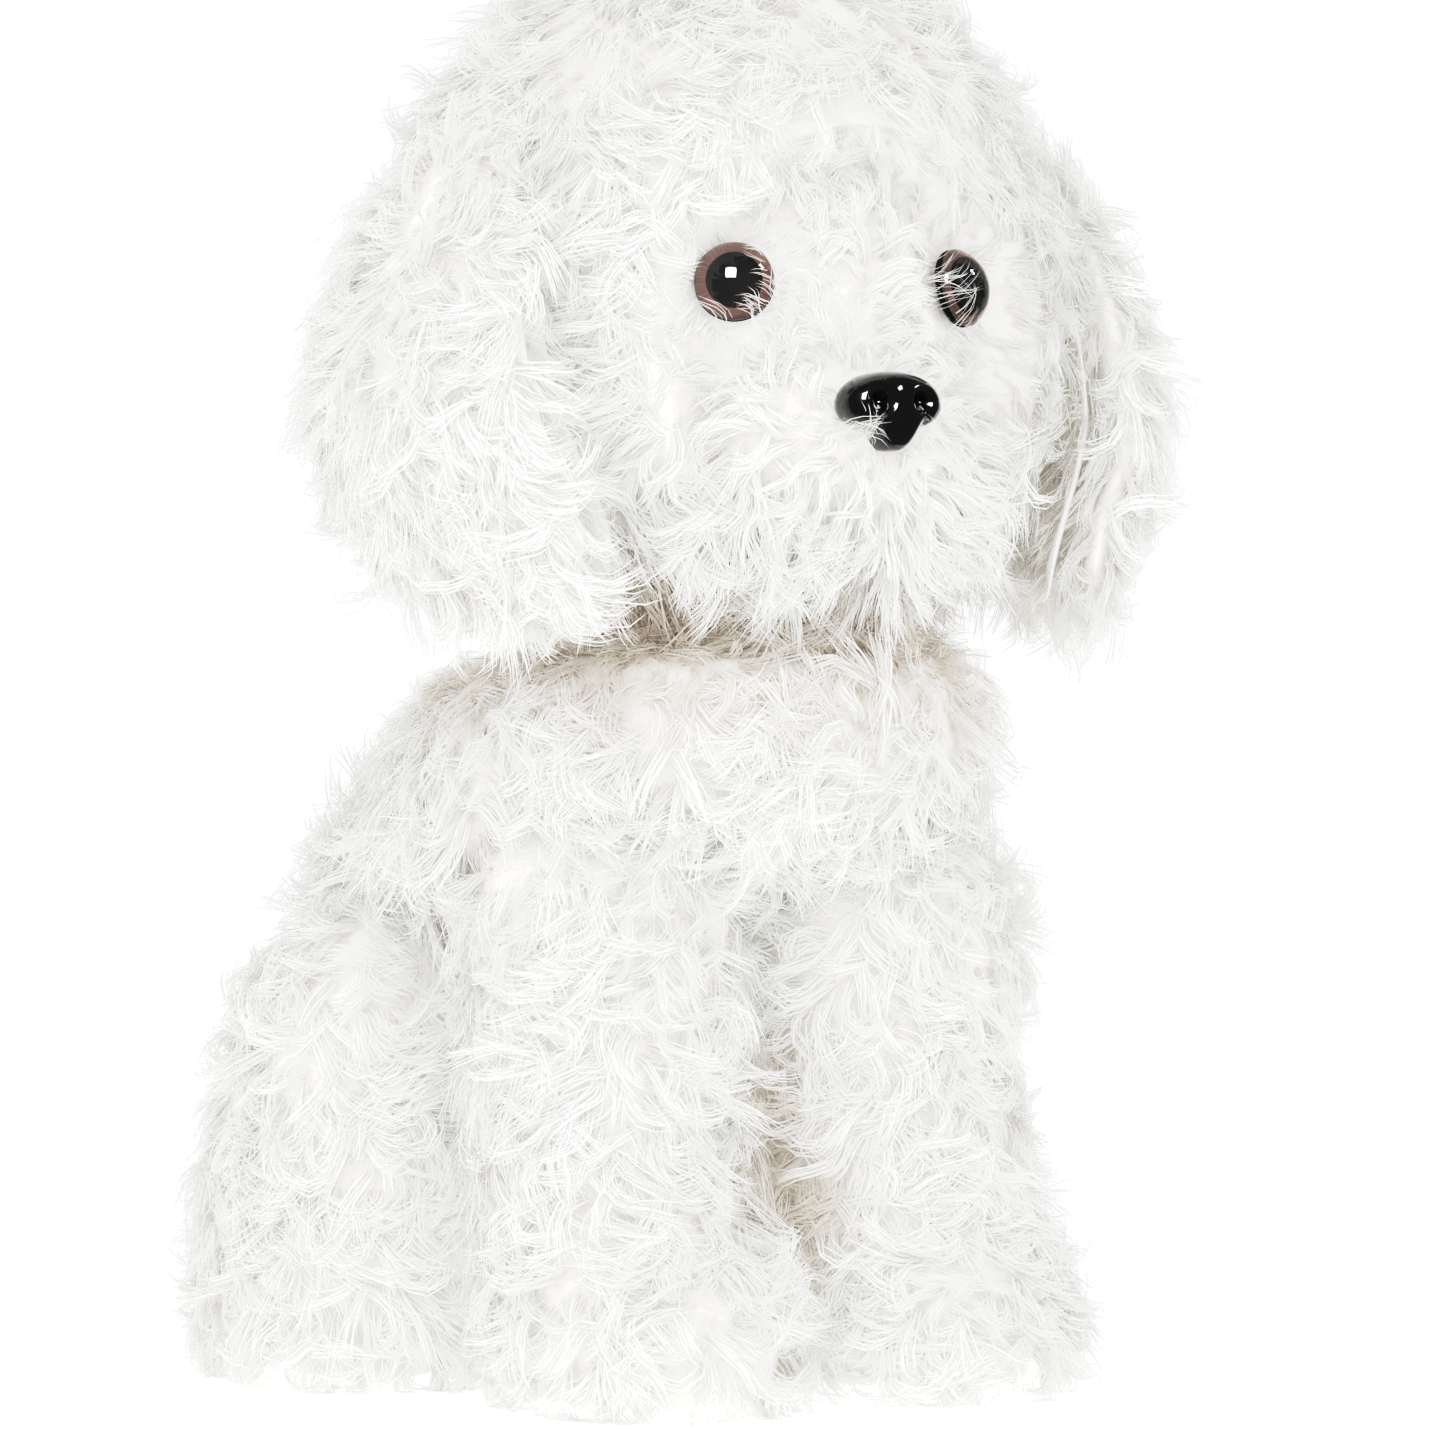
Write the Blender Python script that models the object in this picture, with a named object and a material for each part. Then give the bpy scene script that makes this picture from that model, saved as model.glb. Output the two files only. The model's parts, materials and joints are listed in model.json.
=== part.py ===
"""A sitting plush dog with button eyes, a moulded nose, a turning head, drop ears and a short tail.

The dog faces -Y, its own right side is -X and +Z is up. The origin is the middle of the box round the
whole toy, on the surface that it sits on. Each cover is a shell of pile fabric that is open where it is
sewn to the next one, and each filling is a solid that sits inside its cover.
"""

from math import cos, pi, radians, sin, sqrt

import bmesh
import bpy
import numpy as np
from mathutils import Matrix, Vector

MM = 0.001
GAP = 0.4 * MM  # between pieces that touch
PILE = 7.0 * MM  # thickness of the fabric with its pile
SLACK = 1.0 * MM  # between a cover and its filling

# Head, all measured from the head's upright centre line
HEAD_Y = -33.43 * MM
HEAD_Z = 203.0 * MM
HEAD_HALF = (57.0 * MM, 58.0 * MM, 61.0 * MM)
HEAD_OPENING_R = 28.0 * MM
FACE_Z = 189.0 * MM
FACE_R = 43.0 * MM  # the face panel is part of a ball of this radius
FACE_THICKNESS = 5.0 * MM
FACE_OPENING_R = 36.0 * MM
MUZZLE_Y = HEAD_Y - 32.0 * MM
MUZZLE_Z = 173.5 * MM
MUZZLE_HALF = (28.0 * MM, 23.5 * MM, 17.0 * MM)

# Moulded nose
NOSE_Y = HEAD_Y - 50.8 * MM
NOSE_Z = 176.0 * MM
NOSE_HALF = (9.8 * MM, 6.2 * MM, 7.0 * MM)
STEM_R = 2.0 * MM
WASHER_R = 7.5 * MM
WASHER_THICKNESS = 1.4 * MM

# Button eyes
EYE_X = 23.0 * MM
EYE_Y = HEAD_Y - 37.5 * MM
EYE_Z = 197.5 * MM
EYE_R = 7.0 * MM
EYE_DOME = 4.5 * MM
PUPIL_R = 4.75 * MM
PAINT = 0.4 * MM
EYE_BACK = 1.2 * MM
EYE_STEM_END = 30.0 * MM  # distance from the middle of the face's ball

# Ears
EAR_TOP = 237.0 * MM
EAR_BOTTOM = 141.0 * MM
EAR_SHIFT = -2.0 * MM  # the ear's middle, forward of the head's centre line
EAR_HALF_WIDTH = 33.0 * MM
EAR_LINING = 6.0 * MM
EAR_PILE = 18.5 * MM
EAR_HINGE_X = 49.5 * MM
EAR_HINGE_Z = EAR_TOP

# Neck
NECK_Z = 141.0 * MM
NECK_R = 20.0 * MM
NECK_STEM_R = 14.0 * MM
NECK_STEM_END = 112.0 * MM
NECK_GAP = 0.7 * MM
THREAD_R = 0.8 * MM
THREAD_ANGLE = radians(-20.0)

# Body: height, forward offset of the ring from the head's centre line, half width, half depth
BODY_RINGS = (
    (136.0, 0.0, 30.0, 30.0),
    (133.0, -5.0, 41.0, 43.0),
    (127.0, -12.0, 48.0, 50.0),
    (117.0, -17.0, 52.0, 55.0),
    (106.0, -24.0, 54.0, 57.0),
    (99.0, -36.0, 53.0, 50.0),
    (92.0, -50.0, 48.0, 37.0),
    (84.0, -58.0, 36.0, 32.0),
    (70.0, -61.0, 25.0, 32.0),
    (40.0, -63.0, 22.0, 32.5),
    (14.0, -63.0, 22.0, 32.0),
    (3.4, -63.0, 19.0, 28.0),
)
BASE_HALF = (19.0 * MM, 28.0 * MM)
BASE_THICKNESS = 3.0 * MM
PELLETS_TOP = 32.0 * MM

# Front leg, from the shoulder to the sole
FRONT_LEG_X = 29.0
FRONT_LEG_RINGS = (
    (93.0, -1.5, 8.0, 8.0),
    (89.0, -1.0, 15.0, 14.0),
    (82.0, 0.0, 21.0, 19.5),
    (70.0, 1.0, 25.5, 23.0),
    (54.0, 2.0, 27.0, 24.0),
    (36.0, 5.0, 27.5, 26.0),
    (22.0, 12.0, 27.5, 31.0),
    (11.0, 15.0, 27.5, 33.0),
    (3.5, 15.0, 26.0, 31.0),
    (0.0, 15.0, 22.0, 27.0),
)

# Hind leg, from the hip to the sole
HIND_LEG_X = 49.0
HIND_LEG_RINGS = (
    (81.0, -56.0, 7.0, 8.0),
    (77.0, -56.5, 12.5, 16.0),
    (69.0, -58.0, 18.5, 24.0),
    (55.0, -60.0, 23.0, 32.0),
    (38.0, -61.0, 25.0, 36.0),
    (20.0, -61.0, 25.5, 37.0),
    (9.0, -61.0, 25.5, 37.0),
    (3.0, -61.0, 24.0, 35.0),
    (0.0, -61.0, 20.5, 31.0),
)

# Tail, in its own frame: height above the root, half width, half depth
TAIL_ROOT = (0.0, HEAD_Y + 95.7 * MM, 46.0 * MM)
TAIL_LEAN = radians(-12.0)
TAIL_RINGS = (
    (-10.0, 5.0, 4.5),
    (-5.0, 9.0, 7.5),
    (6.0, 12.5, 10.0),
    (20.0, 13.5, 10.5),
    (33.0, 11.5, 9.0),
    (41.0, 7.0, 6.0),
    (44.0, 3.0, 2.5),
)
TAIL_STAND_OFF = 12.5 * MM  # from the root to the tail's own centre line
TAIL_PILE = 5.0 * MM

COLOURS = {
    "white_pile": ((0.90, 0.90, 0.87), 0.85),
    "short_pile": ((0.88, 0.87, 0.83), 0.85),
    "filling": ((0.93, 0.93, 0.93), 0.95),
    "pellet_cloth": ((0.80, 0.79, 0.75), 0.90),
    "thread": ((0.86, 0.84, 0.80), 0.70),
    "nose_plastic": ((0.012, 0.012, 0.012), 0.20),
    "black_plastic": ((0.010, 0.010, 0.010), 0.15),
    "brown_paint": ((0.105, 0.035, 0.025), 0.35),
    "clear_plastic": ((0.95, 0.93, 0.90), 0.05),
    "washer_plastic": ((0.85, 0.85, 0.83), 0.45),
}


def clear_scene():
    """Empties the scene."""
    for obj in list(bpy.data.objects):
        bpy.data.objects.remove(obj)


def material(name):
    """The Principled material of that name, made once from the table of colours."""
    found = bpy.data.materials.get(name)
    if found:
        return found
    colour, roughness = COLOURS[name]
    made = bpy.data.materials.new(name)
    made.use_nodes = True
    shader = made.node_tree.nodes["Principled BSDF"]
    shader.inputs["Base Color"].default_value = (*colour, 1.0)
    shader.inputs["Roughness"].default_value = roughness
    shader.inputs["Metallic"].default_value = 0.0
    return made


def new_object(name, points, faces, slot, origin=(0.0, 0.0, 0.0)):
    """A smooth-shaded object whose mesh is given in world places and whose own origin is moved to origin."""
    mesh = bpy.data.meshes.new(name)
    mesh.from_pydata([Vector(p) - Vector(origin) for p in points], [], faces)
    mesh.update()
    mesh.shade_smooth()
    mesh.set_sharp_from_angle(angle=radians(50.0))
    mesh.materials.append(material(slot))
    obj = bpy.data.objects.new(name, mesh)
    obj.location = origin
    bpy.context.scene.collection.objects.link(obj)
    return obj


def skin_faces(rings, segments, start_closed, end_closed):
    """Faces that join rings of points one after the other, with a fan to one more point at a closed end."""
    faces = []
    for ring in range(rings - 1):
        for k in range(segments):
            a = ring * segments + k
            b = ring * segments + (k + 1) % segments
            faces.append((a, b, b + segments, a + segments))
    if start_closed:
        pole = rings * segments
        faces += [((k + 1) % segments, k, pole) for k in range(segments)]
    if end_closed:
        pole = rings * segments + int(start_closed)
        last = (rings - 1) * segments
        faces += [(last + k, last + (k + 1) % segments, pole) for k in range(segments)]
    return faces


def ring_points(x, y, z, half_x, half_y, segments):
    """Points of a level ellipse, anticlockwise from above."""
    turn = np.arange(segments) * 2.0 * pi / segments
    return np.stack([x + half_x * np.cos(turn), y + half_y * np.sin(turn), np.full(segments, z)], 1)


def upward(points, faces):
    """The faces turned round if the closed skin is inside out."""
    mesh = bmesh.new()
    made = [mesh.verts.new(p) for p in points]
    for face in faces:
        mesh.faces.new([made[i] for i in face])
    volume = mesh.calc_volume(signed=True)
    mesh.free()
    return faces if volume > 0 else [tuple(reversed(face)) for face in faces]


def solid_of_rings(name, rings, slot, origin=(0.0, 0.0, 0.0)):
    """A closed solid through the rings, with each end closed by a fan to the middle of its ring."""
    segments = len(rings[0])
    ends = [rings[0].mean(0), rings[-1].mean(0)]
    points = np.concatenate([*rings, ends])
    faces = skin_faces(len(rings), segments, True, True)
    return new_object(name, points, upward(points, faces), slot, origin)


def pouch_of_rings(name, outer, inner, slot, origin=(0.0, 0.0, 0.0)):
    """A shell open at its first ring: down the outer rings, across the closed end and up the inner ones."""
    segments = len(outer[0])
    count = len(outer)
    points = np.concatenate([*outer, [outer[-1].mean(0)], *inner, [inner[-1].mean(0)]])
    faces = skin_faces(count, segments, False, True)
    second = count * segments + 1
    inside = skin_faces(len(inner), segments, False, True)
    faces += [tuple(second + i for i in reversed(face)) for face in inside]
    for k in range(segments):
        following = (k + 1) % segments
        faces.append((following, k, second + k, second + following))
    return new_object(name, points, upward(points, faces), slot, origin)


def tube_of_rings(name, outer, inner, slot):
    """A shell that is open at both ends: down the outer rings and back up the inner ones."""
    rings = [*outer, *reversed(inner)]
    segments = len(rings[0])
    points = np.concatenate(rings)
    faces = skin_faces(len(rings), segments, False, False)
    last = (len(rings) - 1) * segments
    for k in range(segments):
        following = (k + 1) % segments
        faces.append((last + k, last + following, following, k))
    return new_object(name, points, upward(points, faces), slot)


def table_rings(table, x, segments, inset=0.0, skip_top=0, skip_bottom=0, floor=None):
    """Rings from a table in millimetres, each drawn in by inset. Rows can be left out at either end."""
    rows = table[skip_top : len(table) - skip_bottom]
    rings = []
    for height, forward, half_x, half_y in rows:
        z = height * MM
        if floor is not None:
            z = max(z, floor)
        rings.append(
            ring_points(
                x * MM, HEAD_Y - forward * MM, z, half_x * MM - inset, half_y * MM - inset, segments
            )
        )
    return rings


def turned(profile, segments, place, axis):
    """A closed solid: a profile of (radius, distance along the axis), with its ends on the axis, turned."""
    turn = np.arange(segments) * 2.0 * pi / segments
    inner = profile[1:-1]
    rings = [np.stack([r * np.cos(turn), r * np.sin(turn), np.full(segments, d)], 1) for r, d in inner]
    ends = [(0.0, 0.0, profile[0][1]), (0.0, 0.0, profile[-1][1])]
    points = np.concatenate([*rings, ends])
    faces = skin_faces(len(rings), segments, True, True)
    rotation = Vector((0.0, 0.0, 1.0)).rotation_difference(Vector(axis)).to_matrix().to_4x4()
    matrix = Matrix.Translation(Vector(place)) @ rotation
    points = [matrix @ Vector(p) for p in points]
    return points, upward(points, faces)


def turned_object(name, profile, segments, place, axis, slot, origin=(0.0, 0.0, 0.0)):
    """An object made by turned."""
    points, faces = turned(profile, segments, place, axis)
    return new_object(name, points, faces, slot, origin)


def ring_of_section(name, section, segments, place, axis, slot, origin=(0.0, 0.0, 0.0)):
    """A closed ring: a section of (radius, distance) points carried once round the axis."""
    turn = np.arange(segments) * 2.0 * pi / segments
    rings = [np.stack([r * np.cos(turn), r * np.sin(turn), np.full(segments, d)], 1) for r, d in section]
    rotation = Vector((0.0, 0.0, 1.0)).rotation_difference(Vector(axis)).to_matrix().to_4x4()
    matrix = Matrix.Translation(Vector(place)) @ rotation
    points = [matrix @ Vector(p) for p in np.concatenate(rings)]
    faces = skin_faces(len(rings), segments, False, False)
    last = (len(rings) - 1) * segments
    for k in range(segments):
        following = (k + 1) % segments
        faces.append((last + k, last + following, following, k))
    return new_object(name, points, upward(points, faces), slot, origin)


def ball_rings(centre, half, segments, from_angle, to_angle, count):
    """Level rings of an ellipsoid between two angles from its top."""
    rings = []
    for step in range(count):
        angle = from_angle + (to_angle - from_angle) * step / (count - 1)
        wide = sin(angle)
        rings.append(
            ring_points(
                centre[0],
                centre[1],
                centre[2] + half[2] * cos(angle),
                half[0] * wide,
                half[1] * wide,
                segments,
            )
        )
    return rings


def ball(name, centre, half, segments, count, slot="filling"):
    """A closed ellipsoid."""
    step = pi / (count + 1)
    rings = ball_rings(centre, half, segments, step, pi - step, count)
    x, y, z = centre
    points = np.concatenate([*rings, [(x, y, z + half[2])], [(x, y, z - half[2])]])
    faces = skin_faces(len(rings), segments, True, True)
    return new_object(name, points, upward(points, faces), slot)


def cut(obj, cutter, operation="DIFFERENCE"):
    """Boolean of obj with a cutter, which stays out of the model."""
    cutter.hide_render = True
    cutter.display_type = "WIRE"
    boolean = obj.modifiers.new(cutter.name, "BOOLEAN")
    boolean.operation = operation
    boolean.solver = "EXACT"
    boolean.object = cutter


def rod_profile(radius, start, end):
    """The profile of a plain round rod."""
    return [(0.0, start), (radius, start), (radius, end), (0.0, end)]


def body():
    """Body cover, its underside panel, the filling and the bag of pellets in the seat."""
    segments = 26
    outer = table_rings(BODY_RINGS, 0.0, segments)
    inner = table_rings(BODY_RINGS, 0.0, segments, PILE, 2)
    rim = ring_points(0.0, HEAD_Y, 130.5 * MM, 24.5 * MM, 24.5 * MM, segments)
    tube_of_rings("body_cover", outer, [rim, *inner], "white_pile")

    half_x, half_y = BASE_HALF
    seat_y = HEAD_Y - BODY_RINGS[-1][1] * MM
    sole = [
        ring_points(0.0, seat_y, z, half_x, half_y, 24)
        for z in (0.0, BASE_THICKNESS)
    ]
    solid_of_rings("base_panel", sole, "short_pile")

    above = table_rings(BODY_RINGS, 0.0, segments, PILE + SLACK, 3, 2)
    seat = ring_points(0.0, seat_y, PELLETS_TOP + GAP, 13.8 * MM, 24.2 * MM, segments)
    collar = ring_points(0.0, HEAD_Y, 125.0 * MM, 30.0 * MM, 30.0 * MM, segments)
    filling = solid_of_rings("body_stuffing", [collar, *above, seat], "filling")
    profile = neck_profile(NECK_GAP)
    cutter = turned_object("neck_room", profile, 20, (0.0, HEAD_Y, NECK_Z), (0.0, 0.0, 1.0), "filling")
    cut(filling, cutter)

    bag = [
        (PELLETS_TOP, 9.0, 18.0),
        (PELLETS_TOP - 3.0 * MM, 13.4, 23.8),
        (PELLETS_TOP - 14.0 * MM, 14.2, 24.4),
        (11.0 * MM, 13.6, 23.6),
        (7.0 * MM, 9.5, 18.5),
    ]
    rings = [ring_points(0.0, seat_y, z, a * MM, b * MM, 20) for z, a, b in bag]
    solid_of_rings("seat_pellet_bag", rings, "pellet_cloth")


def lowered(ring, drop):
    """A ring moved down."""
    moved = ring.copy()
    moved[:, 2] -= drop
    return moved


def neck_profile(spare):
    """The neck's filling, from the top of its ball to the foot of its stem, spare larger all round."""
    radius = NECK_R + spare
    stem = NECK_STEM_R + spare
    last = pi - np.arcsin(stem / radius)
    angles = np.linspace(0.0, last, 10)
    profile = [(radius * sin(a), radius * cos(a)) for a in angles]
    end = NECK_STEM_END - NECK_Z - spare
    return [*profile, (stem, end), (0.0, end)]


def neck():
    """The neck's firm filling, which turns in the body, and the seam thread round it."""
    place = (0.0, HEAD_Y, NECK_Z)
    up = (0.0, 0.0, 1.0)
    turned_object("neck_stuffing", neck_profile(0.0), 20, place, up, "filling", place)
    reach = NECK_R + GAP + THREAD_R
    middle = (reach * cos(THREAD_ANGLE), reach * sin(THREAD_ANGLE))
    turns = np.arange(6) * 2.0 * pi / 6
    section = [(middle[0] + THREAD_R * cos(t), middle[1] + THREAD_R * sin(t)) for t in turns]
    ring_of_section("neck_seam_thread", section, 20, place, up, "thread", place)


def legs():
    """Front and hind legs: a pouch of pile fabric with a filling each."""
    kinds = (
        ("front_leg", FRONT_LEG_RINGS, FRONT_LEG_X),
        ("hind_leg", HIND_LEG_RINGS, HIND_LEG_X),
    )
    for kind, table, distance in kinds:
        for side, sign in (("right", -1.0), ("left", 1.0)):
            x = sign * distance
            outer = table_rings(table, x, 20)
            inner = table_rings(table, x, 20, PILE, 1, 0, 0.0)
            inner = [lowered(ring, 0.6 * PILE) for ring in inner[:1]] + inner[1:-2]
            floor = ring_points(x * MM, inner[-1][:, 1].mean(), 4.5 * MM, 17.0 * MM, 21.0 * MM, 20)
            pouch_of_rings(f"{kind}_{side}_cover", outer, [*inner, floor], "white_pile")
            filled = table_rings(table, x, 20, PILE + SLACK, 2, 2)
            sole = ring_points(x * MM, filled[-1][:, 1].mean(), 4.5 * MM + SLACK, 15.5 * MM, 19.5 * MM, 20)
            solid_of_rings(f"{kind}_{side}_stuffing", [*filled, sole], "filling")


def head():
    """Head cover with its neck and face openings, the face panel, the muzzle cover and the filling."""
    centre = (0.0, HEAD_Y, HEAD_Z)
    inner_half = [h - PILE for h in HEAD_HALF]
    inner_half_room = [h - PILE - SLACK for h in HEAD_HALF]
    first = pi - np.arcsin(HEAD_OPENING_R / HEAD_HALF[0])
    inner_first = pi - np.arcsin((HEAD_OPENING_R - 0.8 * PILE) / inner_half[0])
    last = 0.18
    pivot = (0.0, HEAD_Y, NECK_Z)
    cover = pouch_of_rings(
        "head_cover",
        ball_rings(centre, HEAD_HALF, 28, first, last, 12),
        ball_rings(centre, inner_half, 28, inner_first, last, 12),
        "white_pile",
        pivot,
    )
    forward = (0.0, -1.0, 0.0)
    face = (0.0, HEAD_Y, FACE_Z)
    opening = rod_profile(FACE_OPENING_R, 15.0 * MM, 75.0 * MM)
    cut(cover, turned_object("face_opening", opening, 28, face, forward, "filling"))

    panel_r = FACE_OPENING_R - GAP
    outer_edge = np.arcsin(panel_r / FACE_R)
    back_r = FACE_R - FACE_THICKNESS
    inner_edge = np.arcsin(panel_r / (FACE_R + 1.0 * MM)) * 0.99
    front = [(FACE_R * sin(a), FACE_R * cos(a)) for a in np.linspace(0.0, outer_edge, 6)]
    back = [(back_r * sin(a), back_r * cos(a)) for a in np.linspace(inner_edge, 0.0, 6)]
    panel = turned_object("face_cover", [*front, *back], 26, face, forward, "short_pile", pivot)

    muzzle = ball("muzzle_cover", (0.0, MUZZLE_Y, MUZZLE_Z), MUZZLE_HALF, 20, 9, "short_pile")
    room = FACE_R + 1.6 * MM
    cut(muzzle, ball("face_room", face, (room, room, room), 24, 13))

    filling = ball("head_stuffing", centre, inner_half_room, 20, 10)
    under = back_r - WASHER_THICKNESS - 2.0 * GAP
    step = 18.5 * MM
    edge = np.arccos(step / under)
    pocket = [(under * sin(a), under * cos(a)) for a in np.linspace(0.0, edge, 7)]
    wide = FACE_OPENING_R + GAP
    pocket += [(wide, step), (wide, 75.0 * MM), (0.0, 75.0 * MM)]
    cut(filling, turned_object("face_pocket", pocket, 22, face, forward, "filling"))
    swing = NECK_R + NECK_GAP
    cut(filling, ball("neck_pocket", pivot, (swing, swing, swing), 20, 9))
    return panel, muzzle, filling


def nose(panel, muzzle, filling):
    """The moulded nose with its stem, the washer behind the face panel, and the holes for the stem."""
    place = (0.0, NOSE_Y, NOSE_Z)
    forward = (0.0, -1.0, 0.0)
    moulded = ball("nose", place, NOSE_HALF, 20, 9, "nose_plastic")
    start = NOSE_Y + 2.0 * MM
    stem_length = HEAD_Y - EYE_STEM_END - start
    stem = rod_profile(STEM_R, 0.0, -stem_length)
    root = (0.0, start, NOSE_Z)
    cut(moulded, turned_object("nose_stem", stem[::-1], 12, root, forward, "black_plastic"), "UNION")
    nest = [h + GAP for h in NOSE_HALF]
    cut(muzzle, ball("nose_nest", place, nest, 20, 9))
    hole = rod_profile(STEM_R + GAP, 29.0 * MM, 60.0 * MM)
    for piece, label in ((panel, "panel"), (muzzle, "muzzle"), (filling, "filling")):
        cut(piece, turned_object(f"nose_hole_{label}", hole, 12, (0.0, HEAD_Y, NOSE_Z), forward, "filling"))
    behind = FACE_R - FACE_THICKNESS
    drop = abs(NOSE_Z - FACE_Z)
    away = sqrt(behind * behind - (WASHER_R + drop) ** 2) - WASHER_THICKNESS - 2.0 * GAP
    washer("nose_washer", (0.0, HEAD_Y, NOSE_Z), forward, away)
    room = rod_profile(WASHER_R + GAP, away - GAP, away + 12.0 * MM)
    cut(filling, turned_object("nose_washer_room", room, 20, (0.0, HEAD_Y, NOSE_Z), forward, "filling"))


def washer(name, place, axis, distance):
    """A flat locking washer with its near face at distance along the axis."""
    inside = STEM_R + GAP
    section = [
        (inside, distance),
        (WASHER_R, distance),
        (WASHER_R, distance + WASHER_THICKNESS),
        (inside, distance + WASHER_THICKNESS),
    ]
    ring_of_section(name, section, 20, place, axis, "washer_plastic")


def eyes(panel, filling):
    """Button eyes: clear dome, iris ring, pupil, black back with its stem, and the locking washer."""
    for side, sign in (("right", -1.0), ("left", 1.0)):
        middle = Vector((0.0, HEAD_Y, FACE_Z))
        axis = (Vector((sign * EYE_X, EYE_Y, EYE_Z)) - middle).normalized()
        seat = FACE_R + GAP
        plate = seat + EYE_BACK
        back = [
            (0.0, plate),
            (EYE_R - 0.3 * MM, plate),
            (EYE_R, plate - 0.4 * MM),
            (EYE_R - 0.5 * MM, seat),
            (STEM_R, seat),
            (STEM_R, EYE_STEM_END + 1.0 * MM),
            (STEM_R * 0.6, EYE_STEM_END),
            (0.0, EYE_STEM_END),
        ]
        turned_object(f"eye_{side}_back", back, 20, middle, axis, "black_plastic")
        paint = plate + GAP
        ring = [
            (PUPIL_R + 0.1 * MM, paint),
            (EYE_R - 0.2 * MM, paint),
            (EYE_R - 0.2 * MM, paint + PAINT),
            (PUPIL_R + 0.1 * MM, paint + PAINT),
        ]
        ring_of_section(f"eye_{side}_iris", ring, 24, middle, axis, "brown_paint")
        disc = rod_profile(PUPIL_R - 0.2 * MM, paint, paint + PAINT)
        turned_object(f"eye_{side}_pupil", disc, 24, middle, axis, "black_plastic")
        base = paint + PAINT + GAP
        dome_r = (EYE_R * EYE_R + EYE_DOME * EYE_DOME) / (2.0 * EYE_DOME)
        spread = np.arcsin(EYE_R / dome_r)
        dome = [
            (dome_r * sin(a), base + EYE_DOME - dome_r * (1.0 - cos(a)))
            for a in np.linspace(0.0, spread, 6)
        ]
        turned_object(f"eye_{side}_lens", [*dome, (0.0, base)], 24, middle, axis, "clear_plastic")
        behind = FACE_R - FACE_THICKNESS
        away = sqrt(behind * behind - WASHER_R * WASHER_R) - WASHER_THICKNESS - 2.0 * GAP
        washer(f"eye_{side}_washer", middle, axis, away)
        hole = rod_profile(STEM_R + GAP, EYE_STEM_END - 1.0 * MM, FACE_R + 5.0 * MM)
        room = rod_profile(WASHER_R + GAP, away - GAP, away + 12.0 * MM)
        cut(panel, turned_object(f"eye_{side}_hole", hole, 12, middle, axis, "filling"))
        cut(filling, turned_object(f"eye_{side}_pit", hole, 12, middle, axis, "filling"))
        cut(filling, turned_object(f"eye_{side}_washer_room", room, 20, middle, axis, "filling"))


def ear_ring(sign, z, inner, outer, half_width, segments):
    """A level ring of an ear layer, bent round the head between two distances from its surface."""
    turn = np.arange(segments) * 2.0 * pi / segments
    along = half_width * np.cos(turn)
    above = max(z - HEAD_Z, 0.0) / HEAD_HALF[2]
    offset = (EAR_SHIFT + along) / HEAD_HALF[1]
    surface = HEAD_HALF[0] * np.sqrt(1.0 - offset**2 - above**2)
    out = (inner + outer) / 2.0 + (outer - inner) / 2.0 * np.sin(turn)
    x = sign * (surface + GAP + out)
    return np.stack([x, HEAD_Y + EAR_SHIFT + along, np.full(segments, z)], 1)


def ears():
    """Drop ears: a thick pile layer outside and a short lining inside, both bent round the head's side."""
    count = 11
    for side, sign in (("right", -1.0), ("left", 1.0)):
        hinge = (sign * EAR_HINGE_X, HEAD_Y + EAR_SHIFT, EAR_HINGE_Z)
        pile = []
        lining = []
        for step in range(count):
            share = step / (count - 1)
            angle = pi * (0.06 + 0.88 * share)
            z = EAR_TOP + (EAR_BOTTOM - EAR_TOP) * (1.0 - cos(angle)) / 2.0
            full = sin(angle) ** 0.8
            half_width = EAR_HALF_WIDTH * full * (0.86 + 0.14 * share)
            thick = EAR_LINING * (0.5 + 0.5 * full)
            pile.append(ear_ring(sign, z, thick + GAP, thick + GAP + EAR_PILE * full, half_width, 20))
            lining.append(ear_ring(sign, z, 0.0, thick, half_width * 0.94, 20))
        solid_of_rings(f"ear_{side}_pile", pile, "white_pile", hinge)
        solid_of_rings(f"ear_{side}_lining", lining, "short_pile", hinge)


def tail():
    """A short tail that stands up behind the seat, with its filling."""
    root = bpy.data.objects.new("tail_root", None)
    root.location = TAIL_ROOT
    bpy.context.scene.collection.objects.link(root)
    lean = Matrix.Rotation(TAIL_LEAN, 4, "X")
    middle = Vector((0.0, TAIL_STAND_OFF, 0.0))

    def rings(inset, rows, segments):
        found = []
        for height, half_x, half_y in rows:
            flat = ring_points(0.0, 0.0, height * MM, half_x * MM - inset, half_y * MM - inset, segments)
            found.append(np.array([lean @ Vector(p) + middle for p in flat]))
        return found

    outer = rings(0.0, TAIL_RINGS, 16)
    inner = rings(TAIL_PILE, TAIL_RINGS[1:-2], 16)
    filled = rings(TAIL_PILE + SLACK, TAIL_RINGS[2:-2], 16)
    cover = pouch_of_rings("tail_cover", outer, inner, "white_pile")
    stuffing = solid_of_rings("tail_stuffing", filled, "filling")
    for piece in (cover, stuffing):
        piece.parent = root


def build():
    """Makes every piece of the toy."""
    clear_scene()
    body()
    neck()
    legs()
    panel, muzzle, filling = head()
    nose(panel, muzzle, filling)
    eyes(panel, filling)
    ears()
    tail()


build()
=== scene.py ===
"""Looks of a sitting plush dog with curly white pile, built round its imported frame.

Each cover is a stuffed skin of backing cloth, and locks of pile grow from it. A lock is a bundle of fine
tapered fibres that leave the cloth together, bend over and curl. The dog faces -Y and +Z is up.
"""

import json
from math import cos, pi, radians, sin

import bpy
import numpy as np
from mathutils import Matrix, Vector


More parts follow.
